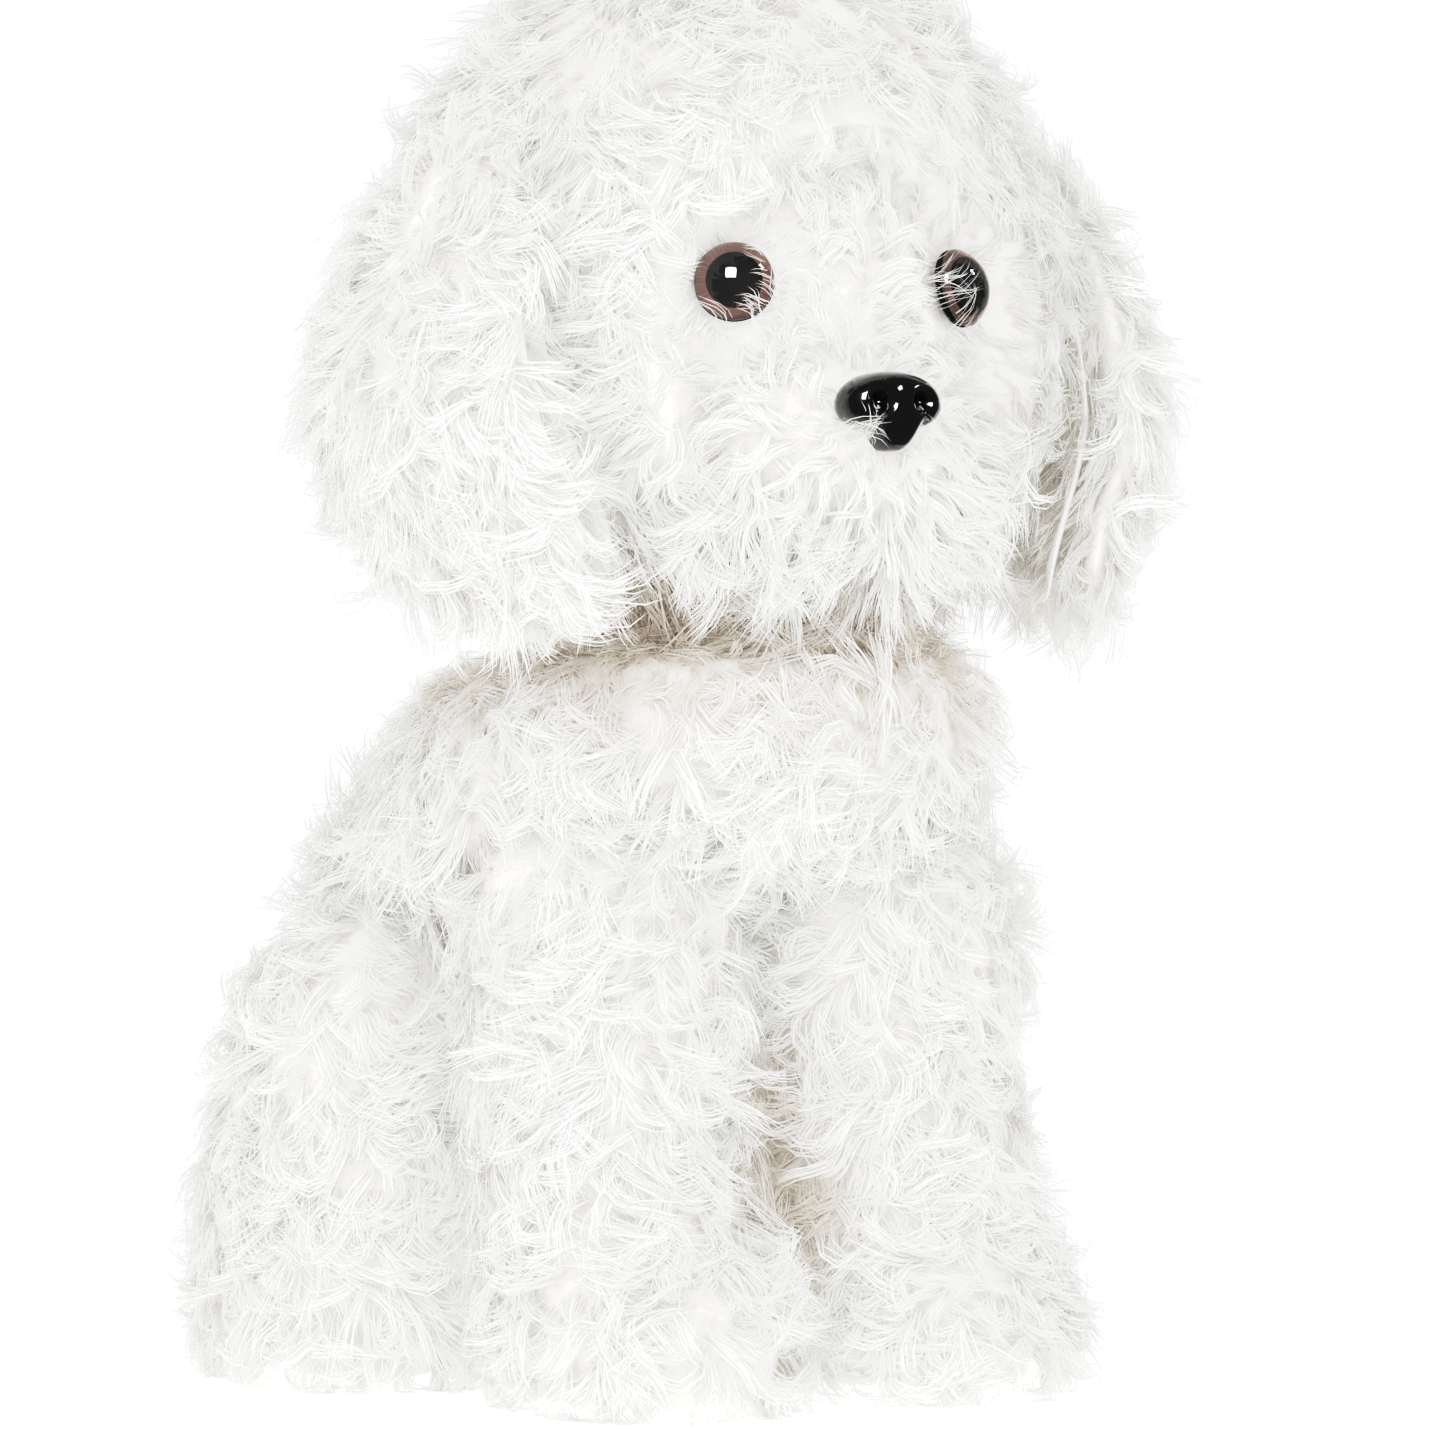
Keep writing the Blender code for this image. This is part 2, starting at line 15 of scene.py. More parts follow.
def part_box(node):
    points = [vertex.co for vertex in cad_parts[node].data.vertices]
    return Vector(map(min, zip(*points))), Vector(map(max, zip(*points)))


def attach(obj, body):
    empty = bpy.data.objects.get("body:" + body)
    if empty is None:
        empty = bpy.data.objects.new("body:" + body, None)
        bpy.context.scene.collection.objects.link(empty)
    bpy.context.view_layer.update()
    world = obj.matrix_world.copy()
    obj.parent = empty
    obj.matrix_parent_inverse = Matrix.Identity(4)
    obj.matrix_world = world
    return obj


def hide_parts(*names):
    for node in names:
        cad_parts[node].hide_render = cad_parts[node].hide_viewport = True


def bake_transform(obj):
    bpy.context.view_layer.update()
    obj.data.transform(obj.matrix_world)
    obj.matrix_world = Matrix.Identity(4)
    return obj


bl_info = {
    "name": "Plush Dog",
    "version": (1, 0, 0),
    "blender": (4, 5, 0),
    "location": "View3D > Sidebar > Plush Dog",
    "description": "Builds a long-pile toy dog round its packed frame",
    "category": "Add Mesh",
}

MM = 0.001
FULL_TURN = 2.0 * pi

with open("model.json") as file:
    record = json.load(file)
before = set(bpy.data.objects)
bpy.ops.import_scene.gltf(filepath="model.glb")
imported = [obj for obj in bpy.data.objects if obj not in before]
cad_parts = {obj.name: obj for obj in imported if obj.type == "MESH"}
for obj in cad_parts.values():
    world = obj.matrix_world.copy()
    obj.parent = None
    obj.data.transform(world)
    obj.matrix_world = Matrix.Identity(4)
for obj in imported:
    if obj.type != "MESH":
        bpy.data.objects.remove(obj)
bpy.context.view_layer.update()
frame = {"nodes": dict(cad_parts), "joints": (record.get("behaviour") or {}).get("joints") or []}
JOINTS = {joint["name"]: joint for joint in frame["joints"]}
NECK = np.array(JOINTS["head_turn"]["pos_m"])
HEAD_Y = NECK[1]
HEAD_RISE = 62.0 * MM  # the middle of the head above the neck's pivot
HEAD_MIDDLE = np.array([0.0, HEAD_Y, NECK[2] + HEAD_RISE])
FACE_MIDDLE = np.array([0.0, HEAD_Y, HEAD_MIDDLE[2] - 14.0 * MM])
CROWN = np.array([0.0, HEAD_Y + 12.0 * MM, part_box("head_cover")[1].z])
SIDES = (("right", -1.0), ("left", 1.0))
FORWARD = np.array([0.0, -1.0, 0.0])
UP = np.array([0.0, 0.0, 1.0])

# Skins, in millimetres: height, forward offset from the neck's axis, half width, half depth
BODY_SKIN = (
    (133.5, -0.5, 27.0, 27.0),
    (131.5, -4.0, 38.5, 40.0),
    (126.0, -11.5, 45.5, 48.0),
    (117.0, -17.5, 50.0, 53.5),
    (107.0, -24.0, 52.5, 56.0),
    (100.5, -30.0, 52.5, 54.0),
    (96.0, -37.5, 52.5, 50.5),
    (92.0, -46.0, 51.5, 43.5),
    (85.0, -54.0, 48.5, 40.0),
    (78.0, -58.5, 42.0, 37.5),
    (68.0, -61.0, 25.0, 31.0),
    (40.0, -63.0, 19.0, 29.5),
    (14.0, -63.0, 19.0, 29.0),
    (4.5, -63.0, 16.0, 25.0),
)
FRONT_LEG_SKIN = (
    (106.0, -6.0, 5.0, 5.0),
    (104.0, -5.0, 11.0, 11.0),
    (96.0, -1.0, 20.5, 19.5),
    (84.0, 0.5, 23.5, 21.0),
    (70.0, 1.0, 24.0, 21.0),
    (54.0, 2.0, 23.5, 21.0),
    (36.0, 5.0, 24.0, 23.0),
    (22.0, 12.0, 24.0, 28.0),
    (11.0, 15.0, 23.5, 29.5),
    (4.5, 15.0, 21.0, 27.0),
    (2.0, 15.0, 16.0, 21.0),
)
HIND_LEG_SKIN = (
    (86.0, -49.0, 5.0, 7.0),
    (82.0, -50.5, 11.5, 14.0),
    (70.0, -54.0, 17.0, 22.0),
    (52.0, -59.0, 19.5, 27.5),
    (38.0, -61.0, 21.5, 32.0),
    (20.0, -61.0, 22.0, 33.5),
    (9.0, -61.0, 21.5, 33.0),
    (4.0, -61.0, 19.5, 30.5),
    (2.0, -61.0, 15.0, 25.0),
)
FRONT_LEG_X = 29.0
HIND_LEG_X = 49.0
TAIL_SKIN = (
    (-9.0, 2.5, 2.0),
    (-6.0, 5.0, 4.0),
    (4.0, 7.5, 5.5),
    (20.0, 8.0, 6.0),
    (32.0, 6.5, 5.0),
    (38.0, 3.5, 3.0),
)
# The neck's sleeves, in millimetres: name, lowest and highest level, the bodies joined, extra radius
NECK_SLEEVES = (
    ("lower", 124.0, 142.0, ("body", "neck"), 0.0),
    ("upper", 138.0, 158.0, ("neck", "head"), 0.6),
)
TAIL_STAND_OFF = 12.5 * MM
TAIL_LEAN = radians(-12.0)
HEAD_SKIN_HALF = np.array([54.5, 56.0, 54.0]) * MM
HEAD_LOW_HALF = 58.5 * MM
HEAD_SQUARENESS = (2.25, 2.9)  # above and below the middle: 2 makes an ellipsoid, and more is fuller
HEAD_LEAN = 8.0 * MM  # the crown stands this much further back than the cheeks
FACE_SKIN_R = 41.8 * MM
FACE_EDGE = (radians(40.0), radians(48.5))  # the face panel blends into the head between these angles
MUZZLE_MIDDLE = np.array([0.0, HEAD_Y - 30.0 * MM, 168.0 * MM])
MUZZLE_HALF = np.array([26.5, 20.0, 20.5]) * MM
EAR_TOP = 231.0 * MM
EAR_BOTTOM = 142.0 * MM
EAR_FORWARD = -3.0 * MM
EAR_SWEEP = 24.0 * MM  # the ear's top lies this much further back than its bottom
EAR_TUCK = 8.0 * MM  # its bottom hangs in under the cheek by this much
EAR_HALF_WIDTH = 33.0 * MM

NOSE_MIDDLE = np.array([0.0, HEAD_Y - 50.8 * MM, 176.0 * MM])
EYE_R = 7.0 * MM
EYE_DOME = 4.5 * MM
PUPIL_R = 4.35 * MM
EYE_SEAT = 43.4 * MM  # from the middle of the face's ball to the back of the eye
EYE_BASE = 1.95 * MM  # the foot of the dome above the back of the eye
IRIS_LEVEL = 1.70 * MM
IRIS_WALL = 0.25 * MM
# Radius and height in millimetres, and radius as a share of the pupil's with height in millimetres
EYE_CUP = ((1.0, 1.2), (6.0, 1.2), (6.7, 1.15), (7.0, 0.85), (6.9, 0.4), (6.6, 0.0), (4.0, 0.0))
PUPIL_DISC = ((0.1, 1.78), (0.6, 1.78), (0.93, 1.76), (1.0, 1.6), (0.97, 1.45), (0.6, 1.42), (0.1, 1.42))
EYE_PLACES = {
    side: np.array([sign * 23.0 * MM, HEAD_Y - 37.5 * MM, 197.5 * MM]) for side, sign in SIDES
}

CLOTH_FRAMES = 14  # steps of the cloth as it fills out
FLOOR_GAP = 1.2 * MM  # between a skin and the floor
PILE_GAP = 0.4 * MM  # between a fibre and the floor, and how deep a fibre is set in the cloth
PAINTED_CREASE_SHADE = (0.80, 0.73, 0.66)  # painted crease shade: the colour that the white pile is darkened towards where shade falls in a crease

skins = {}


# ---------------------------------------------------------------- settings


class PileSettings(bpy.types.PropertyGroup):
    """The pile of the fabric."""

    lock_area: bpy.props.FloatProperty(
        name="Cloth per lock", description="Backing per lock, in square millimetres", default=9.8, min=2.0
    )
    fibres: bpy.props.IntProperty(name="Fibres", description="Fibres in a lock", default=12, min=3)
    steps: bpy.props.IntProperty(name="Steps", description="Straight steps along a fibre", default=5, min=3)
    softness: bpy.props.FloatProperty(
        name="Softness", description="How far the pile is shaded as the cloth under it", default=0.8, max=1.0
    )
    length: bpy.props.FloatProperty(
        name="Length", description="Fibre's length when straight", default=16.0 * MM, subtype="DISTANCE"
    )
    width: bpy.props.FloatProperty(
        name="Fibre width", description="Fibre's width at its root", default=0.28 * MM, subtype="DISTANCE"
    )
    colour: bpy.props.FloatVectorProperty(
        name="Pile colour", description="Colour of the tips", default=(0.955, 0.957, 0.945), subtype="COLOR"
    )
    # Painted shade: the roots are coloured darker and warmer than the tips, for the shade deep in the pile.
    painted_root_shade: bpy.props.FloatVectorProperty(
        name="Root colour", description="Colour of the roots", default=(0.90, 0.875, 0.845), subtype="COLOR"
    )
    # Painted glow: the pile and the backing cloth give out a faint light of their own, in place of light
    # passed on from fibre to fibre.
    painted_glow: bpy.props.FloatProperty(
        name="Glow", description="Light that the pile passes on from fibre to fibre", default=0.03, min=0.0
    )
    seed: bpy.props.IntProperty(name="Seed", description="Start of the random draws", default=7)


class StageSettings(bpy.types.PropertyGroup):
    """Camera, floor and light."""

    azimuth: bpy.props.FloatProperty(
        name="Azimuth", description="Camera's turn round the dog", default=radians(-30.0), subtype="ANGLE"
    )
    elevation: bpy.props.FloatProperty(
        name="Elevation", description="Camera's height above level", default=radians(0.6), subtype="ANGLE"
    )
    distance: bpy.props.FloatProperty(
        name="Distance", description="Camera to dog", default=1.3, subtype="DISTANCE"
    )
    view_width: bpy.props.FloatProperty(
        name="View width", description="Width of the view at the dog", default=0.2565, subtype="DISTANCE"
    )


# ---------------------------------------------------------------- meshes


def mesh_object(name, points, quads, triangles=None):
    """An object from arrays of points, four-cornered faces and three-cornered faces."""
    mesh = bpy.data.meshes.new(name)
    triangles = np.zeros((0, 3), np.int32) if triangles is None else triangles
    corners = np.concatenate([quads.reshape(-1), triangles.reshape(-1)]).astype(np.int32)
    starts = np.concatenate(
        [np.arange(len(quads)) * 4, len(quads) * 4 + np.arange(len(triangles)) * 3]
    ).astype(np.int32)
    mesh.vertices.add(len(points))
    mesh.vertices.foreach_set("co", np.ascontiguousarray(points, np.float32).reshape(-1))
    mesh.loops.add(len(corners))
    mesh.loops.foreach_set("vertex_index", corners)
    mesh.polygons.add(len(starts))
    mesh.polygons.foreach_set("loop_start", starts)
    mesh.polygons.foreach_set("use_smooth", np.ones(len(starts), bool))
    mesh.update(calc_edges=True)
    mesh.validate()
    obj = bpy.data.objects.new(name, mesh)
    bpy.context.scene.collection.objects.link(obj)
    return obj


def grid_faces(rows, columns):
    """Faces between rows of points that each close round, and a fan to one more point at each end."""
    index = np.arange(rows * columns).reshape(rows, columns)
    following = np.roll(index, -1, axis=1)
    quads = np.stack([index[:-1], following[:-1], following[1:], index[1:]], -1).reshape(-1, 4)
    first, last = rows * columns, rows * columns + 1
    start = np.stack([following[0], index[0], np.full(columns, first)], 1)
    end = np.stack([index[-1], following[-1], np.full(columns, last)], 1)
    return quads, np.concatenate([start, end])


def closed_skin(name, grid):
    """A closed surface through a grid of rings, with the middle of the first and last ring as its poles."""
    rows, columns = grid.shape[:2]
    points = np.concatenate([grid.reshape(-1, 3), [grid[0].mean(0)], [grid[-1].mean(0)]])
    quads, triangles = grid_faces(rows, columns)
    corners = points[triangles]
    fans = np.cross(corners[:, 1] - corners[:, 0], corners[:, 2] - corners[:, 0])
    middle = points.mean(0)
    if ((corners.mean(1) - middle) * fans).sum() < 0:
        quads, triangles = quads[:, ::-1], triangles[:, ::-1]
    return mesh_object(name, points, quads, triangles)


def smooth_rows(table, count):
    """The table read at evenly spaced places on a Catmull-Rom curve through its rows."""
    rows = np.array(table)
    place = np.linspace(0.0, len(rows) - 1.0, count)
    index = np.minimum(place.astype(int), len(rows) - 2)
    share = (place - index)[:, None]
    before, here = rows[np.maximum(index - 1, 0)], rows[index]
    there, after = rows[index + 1], rows[np.minimum(index + 2, len(rows) - 1)]
    return 0.5 * (
        2.0 * here
        + (there - before) * share
        + (2.0 * before - 5.0 * here + 4.0 * there - after) * share**2
        + (3.0 * here - before - 3.0 * there + after) * share**3
    )


def level_rings(table, x, count=40, around=64):
    """Level ellipses up a table of height, forward offset, half width and half depth in millimetres."""
    height, forward, half_x, half_y = (column[:, None] * MM for column in smooth_rows(table, count).T)
    turn = np.arange(around) * FULL_TURN / around
    return np.stack(
        [x + half_x * np.cos(turn), HEAD_Y - forward + half_y * np.sin(turn), height + 0.0 * turn], -1
    )


def smooth_step(low, high, value):
    """0 below low, 1 above high, and a smooth rise between."""
    share = np.clip((value - low) / (high - low), 0.0, 1.0)
    return share * share * (3.0 - 2.0 * share)


def unit(vectors):
    """Vectors at length one."""
    return vectors / np.maximum(np.linalg.norm(vectors, axis=-1, keepdims=True), 1e-12)


def waves(points, size, seed, count=10):
    """Smooth noise of about -1 to 1: a sum of sine waves of random heading whose length is about size."""
    rng = np.random.default_rng(seed)
    heading = unit(rng.normal(size=(count, 3))) * FULL_TURN / (size * rng.uniform(0.7, 1.5, (count, 1)))
    total = np.sin(points @ heading.T + rng.uniform(0.0, FULL_TURN, count)).sum(-1)
    return total * np.sqrt(2.0 / count) / 1.6


# ---------------------------------------------------------------- stuffing


def plump(obj, voxel=4.5 * MM, pressure=4.0, cap=2.5 * MM):
    """Remeshes a skin and lets cloth under pressure fill out, moving no point further than cap."""
    remesh = obj.modifiers.new("Remesh", "REMESH")
    remesh.mode = "VOXEL"
    remesh.voxel_size = voxel
    apply_modifiers(obj)
    before = points_of(obj.data)
    cloth = obj.modifiers.new("Cloth", "CLOTH")
    cloth.settings.use_pressure = True
    cloth.settings.uniform_pressure_force = pressure
    cloth.settings.effector_weights.gravity = 0.0
    cloth.settings.mass = 0.15
    cloth.settings.bending_stiffness = 0.3
    cloth.collision_settings.use_self_collision = False
    for step in range(CLOTH_FRAMES):
        bpy.context.scene.frame_set(step + 1)
    apply_modifiers(obj)
    bpy.context.scene.frame_set(1)
    moved = points_of(obj.data) - before
    reach = np.linalg.norm(moved, axis=1, keepdims=True)
    settled = before + moved * np.minimum(1.0, cap / np.maximum(reach, 1e-9))
    settled[:, 2] = np.maximum(settled[:, 2], FLOOR_GAP)
    obj.data.vertices.foreach_set("co", settled.astype(np.float32).reshape(-1))
    subdivide = obj.modifiers.new("Subdivision", "SUBSURF")
    subdivide.levels = subdivide.render_levels = 1
    apply_modifiers(obj)
    obj.data.shade_smooth()


def apply_modifiers(obj):
    """Makes the object's mesh what its modifiers give, and removes them."""
    graph = bpy.context.evaluated_depsgraph_get()
    made = bpy.data.meshes.new_from_object(obj.evaluated_get(graph), depsgraph=graph)
    obj.modifiers.clear()
    made.name = obj.name
    obj.data = made


def rows_of_three(items, name, kind=np.float32):
    """A property of three numbers of every item, as an array."""
    values = np.empty(len(items) * 3, kind)
    items.foreach_get(name, values)
    return values.reshape(-1, 3)


def points_of(mesh):
    """The mesh's points as an array."""
    return rows_of_three(mesh.vertices, "co").astype(float)


# ---------------------------------------------------------------- pile


def scatter(obj, area_each, rng):
    """Places spread evenly over a surface, one for each area_each, with the surface's normal at each."""
    mesh = obj.data
    mesh.calc_loop_triangles()
    corners = rows_of_three(mesh.loop_triangles, "vertices", np.int32)
    points = points_of(mesh)
    normals = rows_of_three(mesh.vertices, "normal").astype(float)
    sides = points[corners]
    areas = np.linalg.norm(np.cross(sides[:, 1] - sides[:, 0], sides[:, 2] - sides[:, 0]), axis=1) / 2.0
    total = areas.sum()
    count = int(total / area_each)
    picked = np.searchsorted(np.cumsum(areas), (np.arange(count) + rng.random(count)) / count * total)
    picked = np.minimum(picked, len(corners) - 1)
    share = rng.random((count, 2))
    over = share.sum(1) > 1.0
    share[over] = 1.0 - share[over]
    weights = np.stack([1.0 - share.sum(1), share[:, 0], share[:, 1]], 1)[:, :, None]
    return (points[corners[picked]] * weights).sum(1), unit((normals[corners[picked]] * weights).sum(1))


def turned_in_plane(direction, normals, angle):
    """Directions made level with the surface and turned in its plane by angle."""
    flat = direction - (direction * normals).sum(-1, keepdims=True) * normals
    flat = unit(flat + 1e-9)
    across = np.cross(normals, flat)
    return flat * np.cos(angle)[:, None] + across * np.sin(angle)[:, None]


def kept(mask, *arrays):
    """The rows of each array where the mask is true."""
    return tuple(array[mask] for array in arrays)


def grow(
    name,
    roots,
    normals,
    along,
    rng,
    length,
    rise=0.75,
    lie=1.75,
    hook=2.3,
    spread=1.6,
    body=None,
    crease=0.0,
    fibres=0,
    fine=1.0,
):
    """Locks of pile as one mesh of tapered ribbons.

    A lock leaves the cloth at the angle rise from the normal and bends to the angle lie, quickly at first.
    Its heading within the cloth's plane starts towards along and turns by up to hook, more and more
    towards the tip, so that it ends in a curl. Adding up short steps in those directions gives its middle
    line. Each fibre follows with its own length, angles and root, and draws in towards that line. It is a
    ribbon whose flat side looks roughly outwards and which narrows to a point. The crease share, from 0 to
    1, is how far a lock is darkened with painted crease shade, fibres stands in for the setting when it
    isn't 0, and fine scales the fibres' width.
    """
    pile = bpy.context.scene.plush_pile
    steps, fibres, locks = pile.steps, fibres or pile.fibres, len(roots)
    count = locks * fibres
    lock = np.repeat(np.arange(locks), fibres)
    length = np.broadcast_to(np.asarray(length, float), (locks,)) * rng.uniform(0.75, 1.2, locks)
    rise = np.broadcast_to(np.asarray(rise, float), (locks,)) + rng.normal(0.0, 0.15, locks)
    lie = np.broadcast_to(np.asarray(lie, float), (locks,)) + rng.normal(0.0, 0.25, locks)
    bend = rng.uniform(0.25, 1.0, locks)
    turn = hook * bend * np.sign(waves(roots, 18.0 * MM, 5) + rng.normal(0.0, 0.5, locks))
    astray = rng.normal(0.0, 0.45, locks)
    lock_spread = spread * MM * rng.uniform(0.7, 1.3, locks)

    normal, forward = normals[lock][:, None], along[lock][:, None]
    sideways = np.cross(normal, forward)
    reach = (length[lock] * rng.uniform(0.80, 1.08, count))[:, None]
    first = (rise[lock] + rng.normal(0.0, 0.12, count))[:, None]
    last = (lie[lock] + rng.normal(0.0, 0.10, count))[:, None]
    whole = (turn[lock] * rng.uniform(0.88, 1.12, count))[:, None]
    aside = (astray[lock] + rng.normal(0.0, 0.07, count))[:, None]
    phase = rng.uniform(0.0, FULL_TURN, locks)[lock][:, None]
    share = (np.arange(steps) + 0.5)[None, :] / steps
    tilt = first + (last - first) * share**0.7
    heading = aside + whole * share**1.3 + 0.45 * np.sin(5.0 * share + phase)
    ahead, across = np.sin(tilt) * np.cos(heading), np.sin(tilt) * np.sin(heading)
    stride = reach / steps
    zero = np.zeros((count, 1))
    up = np.concatenate([zero, np.cumsum(np.cos(tilt) * stride, 1)], 1)
    ahead = np.concatenate([zero, np.cumsum(ahead * stride, 1)], 1)
    across = np.concatenate([zero, np.cumsum(across * stride, 1)], 1)

    disc = np.sqrt(rng.random(count)) * lock_spread[lock]
    bearing = rng.uniform(0.0, FULL_TURN, count)
    drawn = 1.0 - 0.78 * (np.arange(steps + 1) / steps)[None, :] ** 1.2
    ahead = ahead + (disc * np.cos(bearing))[:, None] * drawn
    across = across + (disc * np.sin(bearing))[:, None] * drawn
    lines = (
        roots[lock][:, None]
        + normal * (up - PILE_GAP)[:, :, None]
        + forward * ahead[:, :, None]
        + sideways * across[:, :, None]
    )
    lines[..., 2] = np.maximum(lines[..., 2], PILE_GAP)

    course = unit(np.gradient(lines, axis=1))
    outward = normal + 0.12 * rng.normal(size=(count, 1, 3))
    outward = unit(outward - (outward * course).sum(-1, keepdims=True) * course)
    roll = rng.normal(0.0, 0.3, (count, 1, 1))
    facing = outward * np.cos(roll) + np.cross(course, outward) * np.sin(roll)
    side = np.cross(course, facing)
    half_width = fine * pile.width * rng.uniform(0.7, 1.3, (count, 1)) / 2.0
    taper = (half_width * (1.0 - 0.55 * (np.arange(steps) / steps)[None, :] ** 2))[:, :, None]
    edges = np.stack([lines[:, :-1] - side[:, :-1] * taper, lines[:, :-1] + side[:, :-1] * taper], 2)
    points = np.concatenate([edges.reshape(count, 2 * steps, 3), lines[:, -1:]], 1)
    soft = pile.softness * normal + (1.0 - pile.softness) * facing
    lean = 0.3 * side[:, :-1]
    edge_normals = np.stack([soft[:, :-1] - lean, soft[:, :-1] + lean], 2).reshape(count, 2 * steps, 3)
    shading = unit(np.concatenate([edge_normals, soft[:, -1:]], 1))

    per = 2 * steps + 1
    base = np.arange(count)[:, None] * per + np.arange(steps - 1)[None, :] * 2
    quads = np.stack([base, base + 1, base + 3, base + 2], -1).reshape(-1, 4)
    tips = np.arange(count)[:, None] * per + np.array([[2 * steps - 2, 2 * steps - 1, 2 * steps]])
    obj = mesh_object(name, points.reshape(-1, 3), quads, tips)
    mesh = obj.data
    mesh.normals_split_custom_set_from_vertices(shading.reshape(-1, 3).astype(np.float32))
    height = np.concatenate([np.repeat(np.arange(steps) / steps, 2), [1.0]])
    write_attribute(mesh, "height", np.tile(height, count))
    shade = rng.random(locks)[lock] * 0.65 + rng.random(count) * 0.35
    write_attribute(mesh, "shade", np.repeat(shade, per))
    # each point's share of painted crease shade
    write_attribute(mesh, "crease", np.repeat(np.broadcast_to(crease, (locks,))[lock], per))
    mesh.materials.append(pile_material())
    if body:
        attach(obj, body)
    return obj


def grow_parts(masks, places, shape, crease, rng, body):
    """Grows a piece of pile for each mask in turn, from the places and with the shape that it picks."""
    for name, mask in masks.items():
        grow(name, *kept(mask, *places), rng, *kept(mask, *shape), body=body, crease=crease[mask])


def write_attribute(mesh, name, values):
    """One number for each point of the mesh."""
    attribute = mesh.attributes.new(name, "FLOAT", "POINT")
    attribute.data.foreach_set("value", np.ascontiguousarray(values, np.float32))


def random_draws(offset):
    """A random generator of its own for each piece."""
    return np.random.default_rng(bpy.context.scene.plush_pile.seed * 1000 + offset)


def pile_area():
    """Area of cloth for each lock, in square metres."""
    return bpy.context.scene.plush_pile.lock_area * MM * MM


# ---------------------------------------------------------------- materials


def new_material(name, colour=(0.8, 0.8, 0.8), roughness=0.5):
    """A new material with its node tree and its Principled shader."""
    material = bpy.data.materials.new(name)
    material.use_nodes = True
    shader = material.node_tree.nodes["Principled BSDF"]
    shader.inputs["Base Color"].default_value = (*colour, 1.0)
    shader.inputs["Roughness"].default_value = roughness
    return material, material.node_tree, shader


def put_in(target, **values):
    """Sets a node's unlinked inputs, whose names are given with _ for a space."""
    for name, value in values.items():
        target.inputs[name.replace("_", " ")].default_value = value


def node(tree, kind, **settings):
    """A shader node with its settings."""
    made = tree.nodes.new(kind)
    for name, value in settings.items():
        setattr(made, name, value)
    return made


def texture(tree, kind, scale, **settings):
    """A texture on Object coordinates. Scale is repeats to the metre."""
    place = node(tree, "ShaderNodeTexCoord")
    made = node(tree, kind, **settings)
    put_in(made, Scale=scale)
    tree.links.new(place.outputs["Object"], made.inputs["Vector"])
    return made


def noise_texture(tree, scale, detail=3.0, roughness=0.5):
    """Noise with a number of finer layers, each weaker by the roughness."""
    noise = texture(tree, "ShaderNodeTexNoise", scale)
    put_in(noise, Detail=detail, Roughness=roughness)
    return noise


def stored_value(tree, name):
    """The number that write_attribute stores at the points of the mesh."""
    return node(tree, "ShaderNodeAttribute", attribute_name=name).outputs["Fac"]


def two_colours(tree, factor, low, high, limits=(0.3, 0.7)):
    """A colour ramp between two colours, driven by factor."""
    ramp = node(tree, "ShaderNodeValToRGB")
    ramp.color_ramp.elements[0].position, ramp.color_ramp.elements[1].position = limits
    ramp.color_ramp.elements[0].color = (*low, 1.0)
    ramp.color_ramp.elements[1].color = (*high, 1.0)
    tree.links.new(factor, ramp.inputs["Fac"])
    return ramp.outputs["Color"]


def tinted(tree, share, colour, tint):
    """Colour multiplied by tint, to the given share. 6, 7 and 2 are the node's sockets for colours."""
    mix = node(tree, "ShaderNodeMix", data_type="RGBA", blend_type="MULTIPLY")
    mix.inputs[0].default_value = share
    tree.links.new(colour, mix.inputs[6])
    tree.links.new(tint, mix.inputs[7])
    return mix.outputs[2]


def bump(tree, shader, height, distance, strength=0.5):
    """Bump from a height socket into the shader's normal."""
    made = node(tree, "ShaderNodeBump")
    put_in(made, Distance=distance, Strength=strength)
    tree.links.new(height, made.inputs["Height"])
    tree.links.new(made.outputs["Normal"], shader.inputs["Normal"])


def pile_material():
    """Pile fibre: white at its tip, with painted shade at its root, a little different from lock to lock."""
    found = bpy.data.materials.get("curly_pile")
    if found:
        return found
    pile = bpy.context.scene.plush_pile
    material, tree, shader = new_material("curly_pile", roughness=0.55)
    put_in(shader, Specular_IOR_Level=0.35, Sheen_Weight=0.15, Sheen_Roughness=0.4)
    # Painted glow: the pile gives out a faint light of its own.
    put_in(shader, Emission_Color=(1.0, 0.995, 0.975, 1.0), Emission_Strength=pile.painted_glow)
    white = tuple(pile.colour)
    # Painted shade deep in the pile: darker, warmer colour at the root, rising to white 0.42 of the way up.
    up = two_colours(tree, stored_value(tree, "height"), tuple(pile.painted_root_shade), white, (0.0, 0.42))
    warm = tuple(c * f for c, f in zip(white, (0.985, 0.98, 0.965), strict=True))
    tone = two_colours(tree, stored_value(tree, "shade"), warm, white, (0.1, 0.9))
    colour = tinted(tree, 0.35, up, tone)
    # Painted crease shade: each point's share darkens the colour towards the crease shade.
    tint = two_colours(tree, stored_value(tree, "crease"), (1.0, 1.0, 1.0), PAINTED_CREASE_SHADE, (0.0, 1.0))
    tree.links.new(tinted(tree, 1.0, colour, tint), shader.inputs["Base Color"])
    return material


